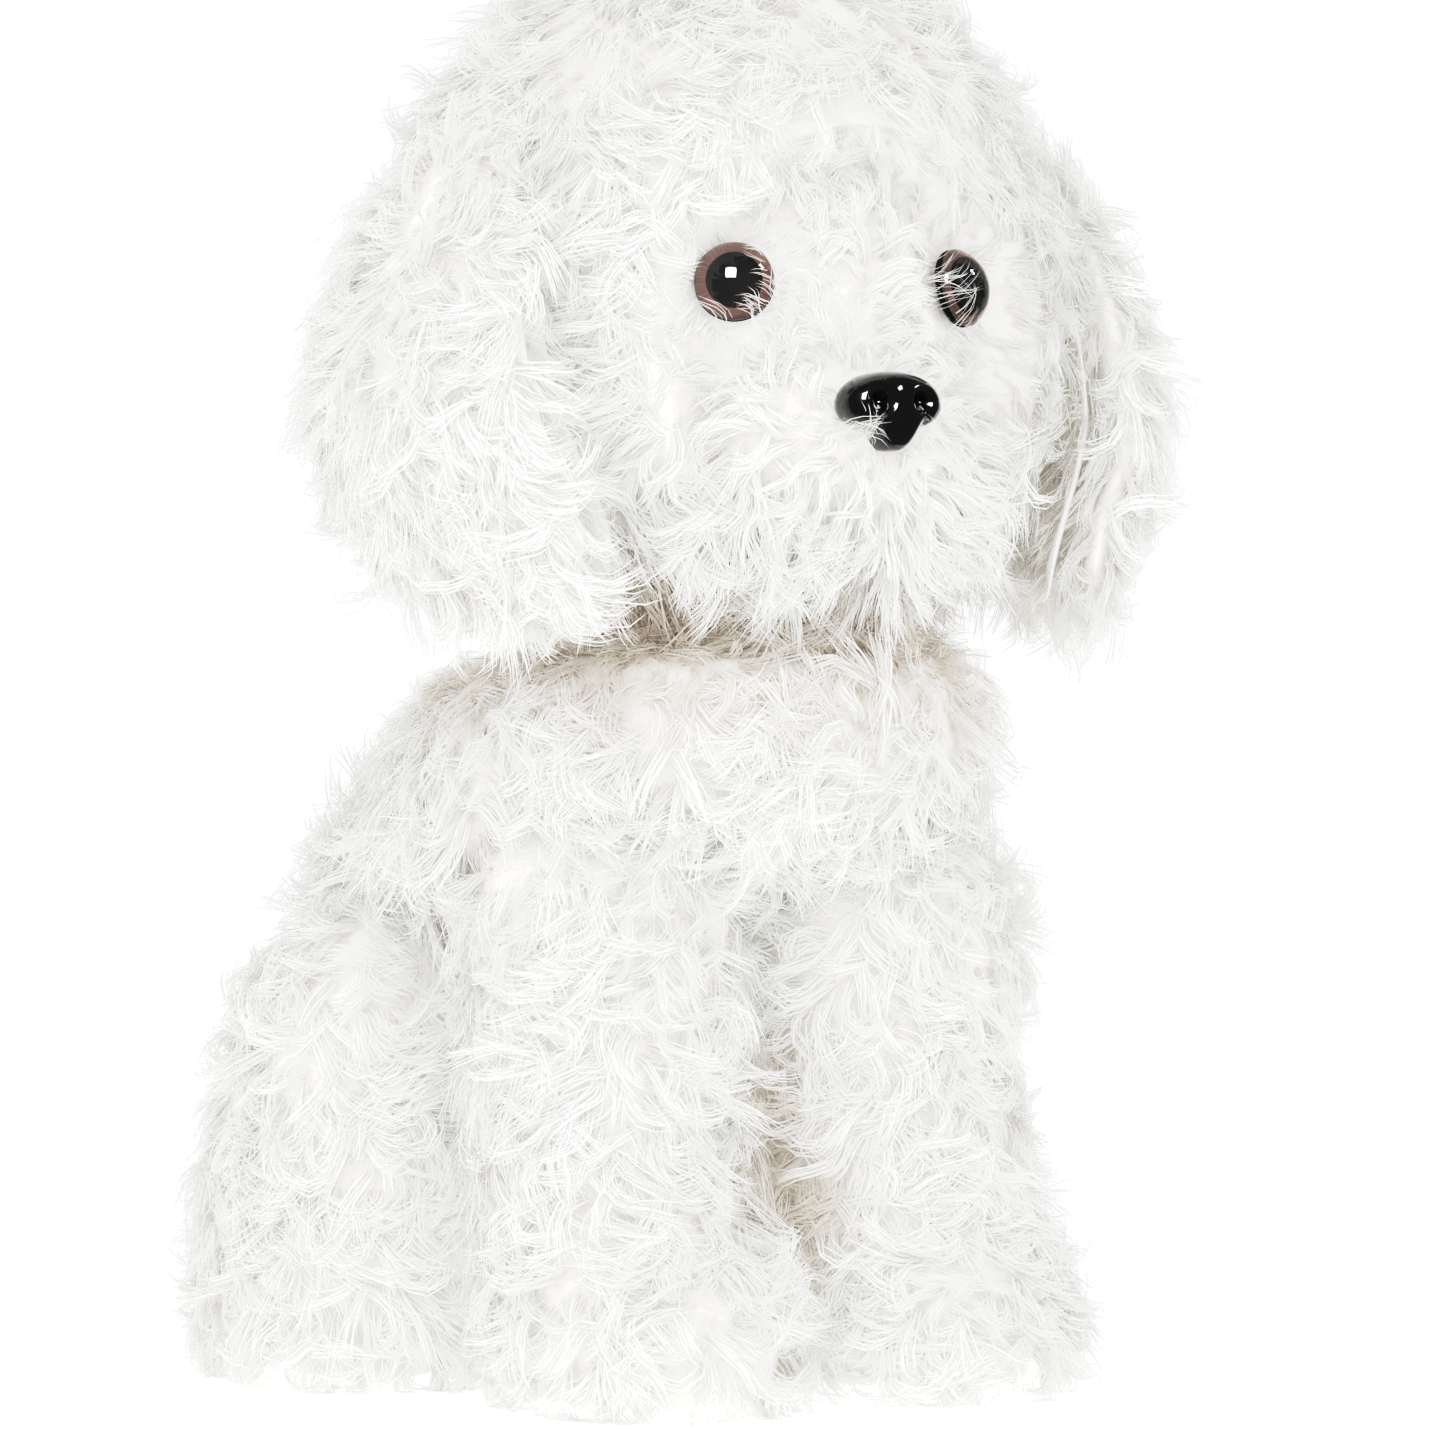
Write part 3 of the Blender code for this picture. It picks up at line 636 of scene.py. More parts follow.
def backing_material():
    """Knitted backing cloth: rows of small loops, slightly uneven in tone, with a faint painted glow."""
    found = bpy.data.materials.get("backing_cloth")
    if found:
        return found
    material, tree, shader = new_material("backing_cloth", (0.93, 0.91, 0.88), 0.9)
    painted_glow = bpy.context.scene.plush_pile.painted_glow
    put_in(shader, Sheen_Weight=0.2, Emission_Color=(1.0, 0.985, 0.96, 1.0), Emission_Strength=painted_glow)
    noise = noise_texture(tree, 90.0)
    colour = two_colours(tree, noise.outputs["Fac"], (0.90, 0.87, 0.83), (0.95, 0.94, 0.915))
    tree.links.new(colour, shader.inputs["Base Color"])
    loops = texture(tree, "ShaderNodeTexVoronoi", 900.0)
    bump(tree, shader, loops.outputs["Distance"], 0.0004)
    return material


def moulded_material(name, colour, roughness, grain=1500.0, coat=0.5, specular=0.5):
    """Moulded plastic with a faint unevenness in its polish."""
    material, tree, shader = new_material(name, colour, roughness)
    put_in(shader, Specular_IOR_Level=specular, Coat_Weight=coat, Coat_Roughness=0.04)
    noise = noise_texture(tree, grain, 2.0)
    rough = node(tree, "ShaderNodeMapRange")
    put_in(rough, To_Min=roughness * 0.75, To_Max=roughness * 1.35)
    tree.links.new(noise.outputs["Fac"], rough.inputs["Value"])
    tree.links.new(rough.outputs["Result"], shader.inputs["Roughness"])
    wave = noise_texture(tree, grain * 0.12, 1.0)
    bump(tree, shader, wave.outputs["Fac"], 0.00015, 0.25)
    return material


def iris_material():
    """Painted iris: mauve brown with fine streaks that run out from the middle, darker at its rim."""
    material, tree, shader = new_material("iris_paint", (0.2, 0.08, 0.06), 0.35)
    noise = node(tree, "ShaderNodeTexNoise", noise_dimensions="1D")
    put_in(noise, Scale=40.0)
    tree.links.new(stored_value(tree, "streak"), noise.inputs["W"])
    colour = two_colours(tree, noise.outputs["Fac"], (0.070, 0.036, 0.031), (0.14, 0.078, 0.067))
    edge = two_colours(tree, stored_value(tree, "rim"), (1.0, 1.0, 1.0), (0.45, 0.38, 0.36), (0.55, 1.0))
    tree.links.new(tinted(tree, 1.0, colour, edge), shader.inputs["Base Color"])
    return material


def lens_material():
    """Clear polished dome."""
    material, _, shader = new_material("clear_dome", (1.0, 0.97, 0.95), 0.0)
    put_in(shader, Transmission_Weight=1.0, IOR=1.49)
    return material


def filling_material():
    """Loose polyester filling: soft white with a fibrous unevenness."""
    material, tree, shader = new_material("fibre_filling", (0.9, 0.9, 0.89), 0.95)
    put_in(shader, Sheen_Weight=0.5)
    noise = noise_texture(tree, 160.0, 8.0, 0.7)
    colour = two_colours(tree, noise.outputs["Fac"], (0.82, 0.82, 0.80), (0.95, 0.95, 0.94))
    tree.links.new(colour, shader.inputs["Base Color"])
    bump(tree, shader, noise.outputs["Fac"], 0.002)
    return material


def woven_material(name, low, high):
    """Plain woven cloth or twisted thread: two crossed sets of fine waves."""
    material, tree, shader = new_material(name, high, 0.85)
    both = node(tree, "ShaderNodeMath", operation="MAXIMUM")
    for number, direction in enumerate(("X", "Z")):
        wave = texture(tree, "ShaderNodeTexWave", 260.0, bands_direction=direction)
        tree.links.new(wave.outputs["Fac"], both.inputs[number])
    tree.links.new(two_colours(tree, both.outputs[0], low, high), shader.inputs["Base Color"])
    bump(tree, shader, both.outputs[0], 0.0003)
    return material


def dress(name, material):
    """Gives a CAD node one material in place of its own."""
    obj = frame["nodes"][name]
    if not obj.material_slots:
        obj.data.materials.append(material)
    for slot in obj.material_slots:
        slot.link = "OBJECT"
        slot.material = material


# ---------------------------------------------------------------- skins


def ellipsoid_grid(middle, half, rows=48, around=72):
    """Rings from the top of an ellipsoid to its bottom, by angle from the top and turn about the upright."""
    fall = np.linspace(0.04, pi - 0.04, rows)[:, None]
    turn = np.arange(around)[None, :] * FULL_TURN / around
    level = np.sin(fall)
    shape = np.stack([level * np.cos(turn), level * np.sin(turn), np.cos(fall) + 0.0 * turn], -1)
    return middle + shape * half


def face_blend(points):
    """1 on the face panel, 0 on the rest of the head, by the angle from straight ahead."""
    angle = np.arccos(np.clip(unit(points - FACE_MIDDLE) @ FORWARD, -1.0, 1.0))
    return 1.0 - smooth_step(*FACE_EDGE, angle)


def head_grid():
    """The head's ellipsoid, drawn in to a smaller ball over the face, where the eyes sit."""
    grid = ellipsoid_grid(HEAD_MIDDLE, HEAD_SKIN_HALF, 96, 144)
    offset = (grid - HEAD_MIDDLE) / HEAD_SKIN_HALF
    low = offset[..., 2] < 0.0
    power = np.where(low, HEAD_SQUARENESS[1], HEAD_SQUARENESS[0])
    level = np.linalg.norm(offset[..., :2], axis=-1)
    fuller = (level**power + np.abs(offset[..., 2]) ** power) ** (1.0 / power)
    tall = np.where(low, HEAD_LOW_HALF, HEAD_SKIN_HALF[2])
    half = np.stack([HEAD_SKIN_HALF[0] + 0.0 * tall, HEAD_SKIN_HALF[1] + 0.0 * tall, tall], -1)
    grid = HEAD_MIDDLE + offset / fuller[..., None] * half
    grid[..., 1] += HEAD_LEAN * smooth_step(185.0 * MM, 235.0 * MM, grid[..., 2])
    share = face_blend(grid)[..., None]
    ball = FACE_MIDDLE + unit(grid - FACE_MIDDLE) * FACE_SKIN_R
    return grid * (1.0 - share) + ball * share


def ear_grid(sign, inner, outer, half_width, rows=44, around=56):
    """An ear layer: level bent ellipses from the top of the ear down.

    The middle of each lies on the side of the head, drawn as an ellipsoid above its middle and as an
    upright wall below it. Widths follow a power of the sine of the way down, and grow towards the bottom,
    as on a drop. The layer starts thin and close to the head, and swells on the way down.
    """
    way = np.linspace(0.03, 0.97, rows)[:, None]
    turn = np.arange(around)[None, :] * FULL_TURN / around
    z = EAR_TOP + (EAR_BOTTOM - EAR_TOP) * (1.0 - np.cos(pi * way)) / 2.0
    full = np.sin(pi * way) ** 0.7
    swell = smooth_step(0.12, 0.6, way)
    drop = (EAR_TOP - z) / (EAR_TOP - EAR_BOTTOM)
    middle = EAR_FORWARD + EAR_SWEEP * (0.4 - drop**2)
    along = middle + half_width * full * (0.86 + 0.22 * way) * np.cos(turn)
    half = HEAD_SKIN_HALF + 4.0 * MM * swell[..., None]
    above = np.maximum(z - HEAD_MIDDLE[2], 0.0) / half[..., 2]
    surface = half[..., 0] * np.sqrt(np.maximum(1.0 - (along / half[..., 1]) ** 2 - above**2, 0.02))
    thick = (outer - inner) * full * (0.4 + 0.6 * swell)
    lift = (inner + outer) / 2.0 * (0.22 + 0.78 * swell) - EAR_TUCK * smooth_step(0.6, 1.0, drop)
    x = sign * (surface + lift + thick / 2.0 * np.sin(turn))
    return np.stack([x, HEAD_Y + along, z + 0.0 * turn], -1)


def add_skin(name, grid, body, replaced, swell=2.0 * MM, plumped=True):
    """A padded skin of backing cloth that stands for a CAD cover."""
    obj = closed_skin(name, grid)
    if plumped:
        plump(obj, cap=swell)
    obj.data.materials.clear()
    obj.data.materials.append(backing_material())
    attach(obj, body)
    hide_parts(*replaced)
    skins[name] = obj
    return obj


class PLUSH_OT_body_skins(bpy.types.Operator):
    """Stuffed skins of the body and the four legs"""

    bl_idname = "plush.body_skins"
    bl_label = "Body and legs"

    def execute(self, context):
        add_skin("body_skin", level_rings(BODY_SKIN, 0.0), "body", ["body_cover"])
        for side, sign in SIDES:
            for kind, table, x in (
                ("front_leg", FRONT_LEG_SKIN, FRONT_LEG_X),
                ("hind_leg", HIND_LEG_SKIN, HIND_LEG_X),
            ):
                grid = level_rings(table, sign * x * MM)
                add_skin(f"{kind}_{side}_skin", grid, "body", [f"{kind}_{side}_cover"])
        return {"FINISHED"}


class PLUSH_OT_head_skins(bpy.types.Operator):
    """Stuffed skins of the head, the muzzle, the ears and the tail"""

    bl_idname = "plush.head_skins"
    bl_label = "Head, ears and tail"

    def execute(self, context):
        add_skin("head_skin", head_grid(), "head", ["head_cover", "face_cover"], plumped=False)
        muzzle = ellipsoid_grid(MUZZLE_MIDDLE, MUZZLE_HALF)
        add_skin("muzzle_skin", muzzle, "head", ["muzzle_cover"], plumped=False)
        for side, sign in SIDES:
            body = f"ear_{side}"
            outer = ear_grid(sign, 6.5 * MM, 20.0 * MM, EAR_HALF_WIDTH)
            lining = ear_grid(sign, 2.0 * MM, 5.5 * MM, EAR_HALF_WIDTH * 0.88)
            add_skin(f"ear_{side}_skin", outer, body, [f"ear_{side}_pile"], plumped=False)
            add_skin(f"ear_{side}_lining_skin", lining, body, [f"ear_{side}_lining"], plumped=False)
        add_skin("tail_skin", tail_grid(), "tail", ["tail_cover"], plumped=False)
        return {"FINISHED"}


def tail_grid():
    """The tail's rings, leaned back about its root."""
    rows = smooth_rows(TAIL_SKIN, 28)
    turn = np.arange(40) * FULL_TURN / 40
    height, half_x, half_y = (column[:, None] * MM for column in rows.T)
    points = np.stack([half_x * np.cos(turn), half_y * np.sin(turn), height + 0.0 * turn], -1)
    lean = np.array(Matrix.Rotation(TAIL_LEAN, 3, "X"))
    root = np.array(JOINTS["tail_wag"]["pos_m"])
    return points @ lean.T + root + np.array([0.0, TAIL_STAND_OFF, 0.0])


# ---------------------------------------------------------------- pile on each part


def clear_of_eyes(roots):
    """For each root: its distance from the nearest eye's axis, and the direction away from that eye."""
    distances, away = [], []
    for place in EYE_PLACES.values():
        axis = unit(place - FACE_MIDDLE)
        offset = roots - place
        level = offset - (offset @ axis)[:, None] * axis
        near = np.where((offset @ axis) > -25.0 * MM, np.linalg.norm(level, axis=1), 1.0)
        distances.append(near)
        away.append(unit(level))
    nearest = np.argmin(distances, axis=0)
    rows = np.arange(len(roots))
    return np.array(distances)[nearest, rows], np.array(away)[nearest, rows]


def clear_of_nose(roots):
    """Each root's distance from the nose's middle, seen from ahead and drawn in over the nose's width."""
    offset = roots - NOSE_MIDDLE
    level = np.stack([offset[:, 0] / 1.25, offset[:, 2] * 1.05], 1)
    return np.linalg.norm(level, axis=1)


def level_out(points, middle):
    """Directions straight out from an upright axis through middle."""
    return unit((points - middle) * np.array([1.0, 1.0, 0.0]))


class PLUSH_OT_head_pile(bpy.types.Operator):
    """Pile of the head: crown, back, cheeks, face and muzzle"""

    bl_idname = "plush.head_pile"
    bl_label = "Head pile"

    def execute(self, context):
        pile = context.scene.plush_pile
        rng = random_draws(1)
        roots, normals = scatter(skins["head_skin"], pile_area() * 0.92, rng)
        eye, from_eye = clear_of_eyes(roots)
        muzzle = (((roots - MUZZLE_MIDDLE) / MUZZLE_HALF) ** 2).sum(1)
        neck = np.linalg.norm(roots[:, :2] - NECK[:2], axis=1)
        under = (roots[:, 2] < NECK[2] + 15.0 * MM) & (neck < 26.0 * MM)
        keep = (eye > EYE_R + 0.1 * MM) & (muzzle > 0.8) & ~under
        roots, normals, eye, from_eye = kept(keep, roots, normals, eye, from_eye)
        face = face_blend(roots)
        normals = unit(0.35 * normals + 0.65 * unit(roots - HEAD_MIDDLE + np.array([0.0, 0.0, 5.0 * MM])))
        down = unit(roots - CROWN)
        out = unit(roots - NOSE_MIDDLE)
        comb = down * (1.0 - face)[:, None] + out * face[:, None]
        near = 1.0 - smooth_step(9.0 * MM, 19.0 * MM, eye)
        comb = unit(comb) * (1.0 - near)[:, None] + from_eye * near[:, None]
        swirl = (1.3 - 0.6 * face - 0.5 * near) * waves(roots, 34.0 * MM, 11)
        along = turned_in_plane(comb, normals, swirl)
        low = 1.0 - smooth_step(150.0 * MM, 172.0 * MM, roots[:, 2])
        length = pile.length * (1.0 - 0.22 * face) * (1.0 - 0.62 * near) * (1.0 + 0.2 * low)
        rise = 0.75 - 0.5 * near - 0.4 * low
        lie = 1.75 - 0.1 * face - 0.5 * near - 0.55 * low
        hook = 2.3 - 1.6 * near
        above, ahead = roots[:, 2] >= 205.0 * MM, roots[:, 1] < HEAD_Y + 8.0 * MM
        masks = {
            "face_pile": face > 0.35,
            "crown_pile": (face <= 0.35) & above & ahead,
            "back_of_head_pile": (face <= 0.35) & above & ~ahead,
            "nape_pile": (face <= 0.35) & ~above & ~ahead,
            "cheek_pile": (face <= 0.35) & ~above & ahead,
        }
        # Painted shade under the chin: the head's lowest pile takes the crease shade, fading out between 146
        # and 154 mm up.
        crease = 1.0 - smooth_step(146.0 * MM, 154.0 * MM, roots[:, 2])
        grow_parts(masks, (roots, normals, along), (length, rise, lie, hook), crease, rng, "head")

        rng = random_draws(2)
        roots, normals = scatter(skins["muzzle_skin"], pile_area() * 0.62, rng)
        nose = clear_of_nose(roots)
        eye, _ = clear_of_eyes(roots)
        inside = np.linalg.norm(roots - FACE_MIDDLE, axis=1) < FACE_SKIN_R - 2.0 * MM
        keep = ((nose > 6.2 * MM) | (roots[:, 1] > NOSE_MIDDLE[1] + 8.0 * MM)) & ~inside & (eye > EYE_R)
        roots, normals, nose, eye = kept(keep, roots, normals, nose, eye)
        comb = unit(unit(roots - NOSE_MIDDLE) + np.array([0.0, 0.2, -0.35]))
        along = turned_in_plane(comb, normals, 0.7 * waves(roots, 26.0 * MM, 12))
        far = smooth_step(6.0 * MM, 20.0 * MM, nose)
        chin = smooth_step(0.1, 0.7, -normals[:, 2])
        clear = smooth_step(9.0 * MM, 20.0 * MM, eye)
        length = (6.5 + 7.5 * far + 3.0 * chin) * (0.5 + 0.5 * clear) * MM
        rise, lie = 0.65 - 0.35 * chin, 1.5 - 0.4 * chin
        grow("muzzle_pile", roots, normals, along, rng, length, rise, lie, 1.0, 1.2, body="head")
        return {"FINISHED"}


class PLUSH_OT_stray_pile(bpy.types.Operator):
    """Fibres that stray over the eyes' inner and lower edges and over the nose's lower corners"""

    bl_idname = "plush.stray_pile"
    bl_label = "Stray fibres"

    def execute(self, context):
        rng = random_draws(3)
        for side, sign in SIDES:
            axis = unit(EYE_PLACES[side] - FACE_MIDDLE)
            inward, upward = axis_matrix(axis).T[:2]
            turn = radians(-50.0) + rng.normal(0.0, radians(40.0), 9)
            out = -sign * np.cos(turn)[:, None] * inward + np.sin(turn)[:, None] * upward
            roots = FACE_MIDDLE + axis * EYE_SEAT + out * (EYE_R + 0.8 * MM)
            normals = np.broadcast_to(axis, roots.shape)
            shape = (9.0 * MM, 0.1, 1.1, 1.6, 2.6)
            grow(f"eye_{side}_stray_pile", roots, normals, -out, rng, *shape, body="head", fibres=5, fine=0.4)
            turn = radians(-90.0) + sign * radians(52.0) + rng.normal(0.0, radians(16.0), 7)
            out = np.stack([np.cos(turn), 0.0 * turn, np.sin(turn)], 1)
            roots = NOSE_MIDDLE + out * np.array([10.0, 0.0, 7.5]) * MM
            normals = np.broadcast_to(FORWARD, roots.shape)
            shape = (8.5 * MM, 0.3, 1.1, 1.6, 2.4)
            places = (roots, normals, -out)
            grow(f"nose_{side}_stray_pile", *places, rng, *shape, body="head", fibres=6, fine=0.4)
        return {"FINISHED"}


class PLUSH_OT_ear_pile(bpy.types.Operator):
    """Pile of both ears, long outside and short on the lining"""

    bl_idname = "plush.ear_pile"
    bl_label = "Ear pile"

    def execute(self, context):
        pile = context.scene.plush_pile
        for number, (side, sign) in enumerate(SIDES):
            body = f"ear_{side}"
            rng = random_draws(10 + number)
            roots, normals = scatter(skins[f"ear_{side}_skin"], pile_area() * 0.85, rng)
            roots, normals = kept(normals[:, 0] * sign > -0.98, roots, normals)
            middle = np.array([sign * 60.0 * MM, HEAD_Y + EAR_FORWARD, 200.0 * MM])
            comb = -0.6 * UP + 0.9 * unit(roots - middle)
            along = turned_in_plane(comb, normals, 1.1 * waves(roots, 30.0 * MM, 21 + number))
            length = pile.length * (1.0 - 0.45 * smooth_step(212.0 * MM, 230.0 * MM, roots[:, 2]))
            grow(f"ear_{side}_outer_pile", roots, normals, along, rng, length, body=body)
            roots, normals = scatter(skins[f"ear_{side}_lining_skin"], pile_area(), rng)
            roots, normals = kept(normals[:, 0] * sign < 0.5, roots, normals)
            along = turned_in_plane(-UP, normals, 0.5 * waves(roots, 30.0 * MM, 31))
            shape = (12.0 * MM, 0.9, 1.6, 1.5, 1.6)
            # The lining's pile takes a quarter of the painted crease shade.
            grow(f"ear_{side}_lining_pile", roots, normals, along, rng, *shape, body=body, crease=0.25)
        return {"FINISHED"}


class PLUSH_OT_body_pile(bpy.types.Operator):
    """Pile of the chest, the back and the four legs"""

    bl_idname = "plush.body_pile"
    bl_label = "Body and leg pile"

    def execute(self, context):
        pile = context.scene.plush_pile
        rng = random_draws(20)
        roots, normals = scatter(skins["body_skin"], pile_area() * 0.92, rng)
        out = level_out(roots, NECK)
        neck = np.linalg.norm(roots[:, :2] - NECK[:2], axis=1)
        hidden = (roots[:, 2] < 74.0 * MM) & (roots[:, 1] < HEAD_Y + 70.0 * MM)
        hidden |= (roots[:, 2] < 90.0 * MM) & (roots[:, 1] < HEAD_Y + 30.0 * MM)
        hidden |= (roots[:, 2] < 8.0 * MM) & (normals[:, 2] < -0.5)
        keep = ~hidden & ((neck > 22.0 * MM) | (roots[:, 2] < 120.0 * MM))
        roots, normals, out = kept(keep, roots, normals, out)
        top = smooth_step(118.0 * MM, 130.0 * MM, roots[:, 2])
        low = 1.0 - smooth_step(98.0 * MM, 116.0 * MM, roots[:, 2])
        comb = -UP + 0.9 * out * top[:, None]
        along = turned_in_plane(comb, normals, 1.15 * waves(roots, 34.0 * MM, 41))
        length = pile.length * (1.05 - 0.15 * top + 0.2 * low)
        front = roots[:, 1] < HEAD_Y + 18.0 * MM
        above = roots[:, 2] > 96.0 * MM
        masks = {"chest_pile": front, "back_pile": ~front & above, "rump_pile": ~front & ~above}
        # Painted shade round the neck: the body's pile takes up to 0.65 of the crease shade from 119 to 130
        # mm up, on the back as well.
        crease = 0.65 * smooth_step(119.0 * MM, 130.0 * MM, roots[:, 2])
        grow_parts(masks, (roots, normals, along), (length, 0.75 - 0.35 * low), crease, rng, "body")
        for number, (side, sign) in enumerate(SIDES):
            for step, kind in enumerate(("front_leg", "hind_leg")):
                rng = random_draws(30 + 10 * number + step)
                roots, normals = scatter(skins[f"{kind}_{side}_skin"], pile_area() * 0.95, rng)
                buried = (normals[:, 0] * sign < -0.6) & (roots[:, 2] > (84.0, 22.0)[step] * MM)
                keep = (normals[:, 2] > -0.7) & (roots[:, 2] < 96.0 * MM) & ~buried
                roots, normals = kept(keep, roots, normals)
                swirl = 1.2 * waves(roots, 32.0 * MM, 51 + number + 2 * step)
                along = turned_in_plane(0.25 * FORWARD - UP, normals, swirl)
                # Painted shade between the legs: pile on a leg's inner side, from about 20 to 75 mm up, takes
                # up to 0.65 of the crease shade.
                inner = 1.0 - smooth_step(7.0 * MM, 12.0 * MM, roots[:, 0] * sign)
                inner = inner * (1.0 - smooth_step(55.0 * MM, 75.0 * MM, roots[:, 2]))
                inner = 0.65 * inner * smooth_step(20.0 * MM, 32.0 * MM, roots[:, 2])
                places = (roots, normals, along)
                grow(f"{kind}_{side}_curls", *places, rng, pile.length, body="body", crease=inner)
        return {"FINISHED"}


class PLUSH_OT_tail_pile(bpy.types.Operator):
    """Pile of the tail"""

    bl_idname = "plush.tail_pile"
    bl_label = "Tail pile"

    def execute(self, context):
        rng = random_draws(60)
        roots, normals = scatter(skins["tail_skin"], pile_area() * 0.7, rng)
        along = turned_in_plane(UP, normals, 0.9 * waves(roots, 25.0 * MM, 61))
        grow("tail_pile", roots, normals, along, rng, 14.0 * MM, 0.5, 1.5, body="tail")
        return {"FINISHED"}


class PLUSH_OT_neck(bpy.types.Operator):
    """The neck's sleeves, each with its short pile"""

    bl_idname = "plush.neck"
    bl_label = "Neck sleeve"

    def execute(self, context):
        # The sleeve is real cloth, but its dark brown-beige colour is painted shade of the band under the
        # chin.
        sleeve = woven_material("neck_cloth", (0.55, 0.46, 0.38), (0.66, 0.58, 0.50))
        for number, (label, low, high, bodies, shift) in enumerate(NECK_SLEEVES):
            rows = np.linspace(low, high, 12)[:, None] * MM
            turn = np.arange(64)[None, :] * FULL_TURN / 64
            waist = np.sin(pi * (rows - low * MM) / ((high - low) * MM))
            radius = (25.5 + shift - 1.5 * waist) * MM
            grid = np.stack([radius * np.cos(turn), HEAD_Y + radius * np.sin(turn), rows + 0.0 * turn], -1)
            quads, _ = grid_faces(*grid.shape[:2])
            obj = mesh_object(f"neck_{label}_sleeve", grid.reshape(-1, 3), quads)
            rng = random_draws(70 + number)
            roots, normals = scatter(obj, pile_area() * 1.5, rng)
            along = turned_in_plane(-UP, normals, 0.6 * waves(roots, 20.0 * MM, 71))
            shape = (9.0 * MM, 0.6, 1.5, 1.0)
            # The neck's pile takes the full painted crease shade.
            curls = grow(f"neck_{label}_pile", roots, normals, along, rng, *shape, crease=1.0)
            solid = obj.modifiers.new("Solidify", "SOLIDIFY")
            solid.thickness = 0.8 * MM
            solid.offset = -1.0
            apply_modifiers(obj)
            obj.data.materials.append(sleeve)
            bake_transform(obj)
            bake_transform(curls)
        return {"FINISHED"}


# ---------------------------------------------------------------- eyes and nose


def axis_matrix(axis):
    """Rotation whose third column is axis, with its second column as upright as it can be."""
    out = unit(np.asarray(axis, float))
    side = unit(np.cross(UP, out))
    return np.stack([side, np.cross(out, side), out], 1)


def turned_profile(name, radii, heights, place, axis, around=96):
    """A closed piece: the profile of radii and heights carried round the axis, with a pole at each end."""
    turn = np.arange(around)[None, :] * FULL_TURN / around
    radii, heights = np.asarray(radii)[:, None], np.asarray(heights)[:, None]
    grid = np.stack([radii * np.cos(turn), radii * np.sin(turn), heights + 0.0 * turn], -1)
    return closed_skin(name, grid @ axis_matrix(axis).T + place)


class PLUSH_OT_eyes(bpy.types.Operator):
    """Button eyes: clear dome, painted iris, pupil and black back"""

    bl_idname = "plush.eyes"
    bl_label = "Eyes"

    def execute(self, context):
        black = moulded_material("eye_black", (0.004, 0.004, 0.004), 0.5, coat=0.0, specular=0.15)
        clear = lens_material()
        paint = iris_material()
        cup_r, cup_h = np.array(EYE_CUP).T * MM
        dome_r, dome_h = self.dome_profile()
        ring_r = np.linspace(PUPIL_R - 0.1 * MM, EYE_R - 0.25 * MM, 8)
        ring_h = np.repeat([IRIS_LEVEL, IRIS_LEVEL - IRIS_WALL], len(ring_r))
        ring_r = np.concatenate([ring_r, ring_r[::-1]])
        disc_r, disc_h = np.array(PUPIL_DISC).T
        for side, _ in SIDES:
            axis = unit(EYE_PLACES[side] - FACE_MIDDLE)
            seat = FACE_MIDDLE + axis * EYE_SEAT
            back = turned_profile(f"eye_{side}_cup", cup_r, cup_h, seat, axis)
            dome = turned_profile(f"eye_{side}_dome", dome_r, dome_h, seat, axis)
            iris = turned_profile(f"eye_{side}_iris_ring", ring_r, ring_h, seat, axis)
            self.mark_iris(iris, seat, axis)
            pupil = turned_profile(f"eye_{side}_pupil_disc", disc_r * PUPIL_R, disc_h * MM, seat, axis)
            for obj, material, node_name, slot in (
                (back, black, "back", "black_plastic"),
                (dome, clear, "lens", "clear_plastic"),
                (iris, paint, "iris", "brown_paint"),
                (pupil, black, "pupil", "black_plastic"),
            ):
                obj.data.materials.append(material)
                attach(obj, "head")
                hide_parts(f"eye_{side}_{node_name}")
        return {"FINISHED"}

    @staticmethod
    def dome_profile():
        """Radii and heights of the clear dome: an arc of a circle down to its rim, and a flat back."""
        ball = (EYE_R**2 + EYE_DOME**2) / (2.0 * EYE_DOME)
        bow = np.linspace(0.02, np.arcsin(EYE_R / ball), 20)
        rim_r = np.array([EYE_R - 0.05 * MM, EYE_R - 0.15 * MM, 4.0 * MM, 0.5 * MM])
        rim_h = EYE_BASE - np.array([0.35, 0.7, 0.7, 0.7]) * MM
        radii = np.concatenate([ball * np.sin(bow), rim_r])
        heights = np.concatenate([EYE_BASE + EYE_DOME - ball * (1.0 - np.cos(bow)), rim_h])
        return radii, heights

    @staticmethod
    def mark_iris(obj, seat, axis):
        """Writes each point's turn about the axis and its way out from the pupil to the rim."""
        local = (points_of(obj.data) - seat) @ axis_matrix(axis)
        turn = np.arctan2(local[:, 1], local[:, 0])
        reach = np.linalg.norm(local[:, :2], axis=1)
        write_attribute(obj.data, "streak", np.abs(turn) / pi)
        write_attribute(obj.data, "rim", (reach - PUPIL_R) / (EYE_R - PUPIL_R))


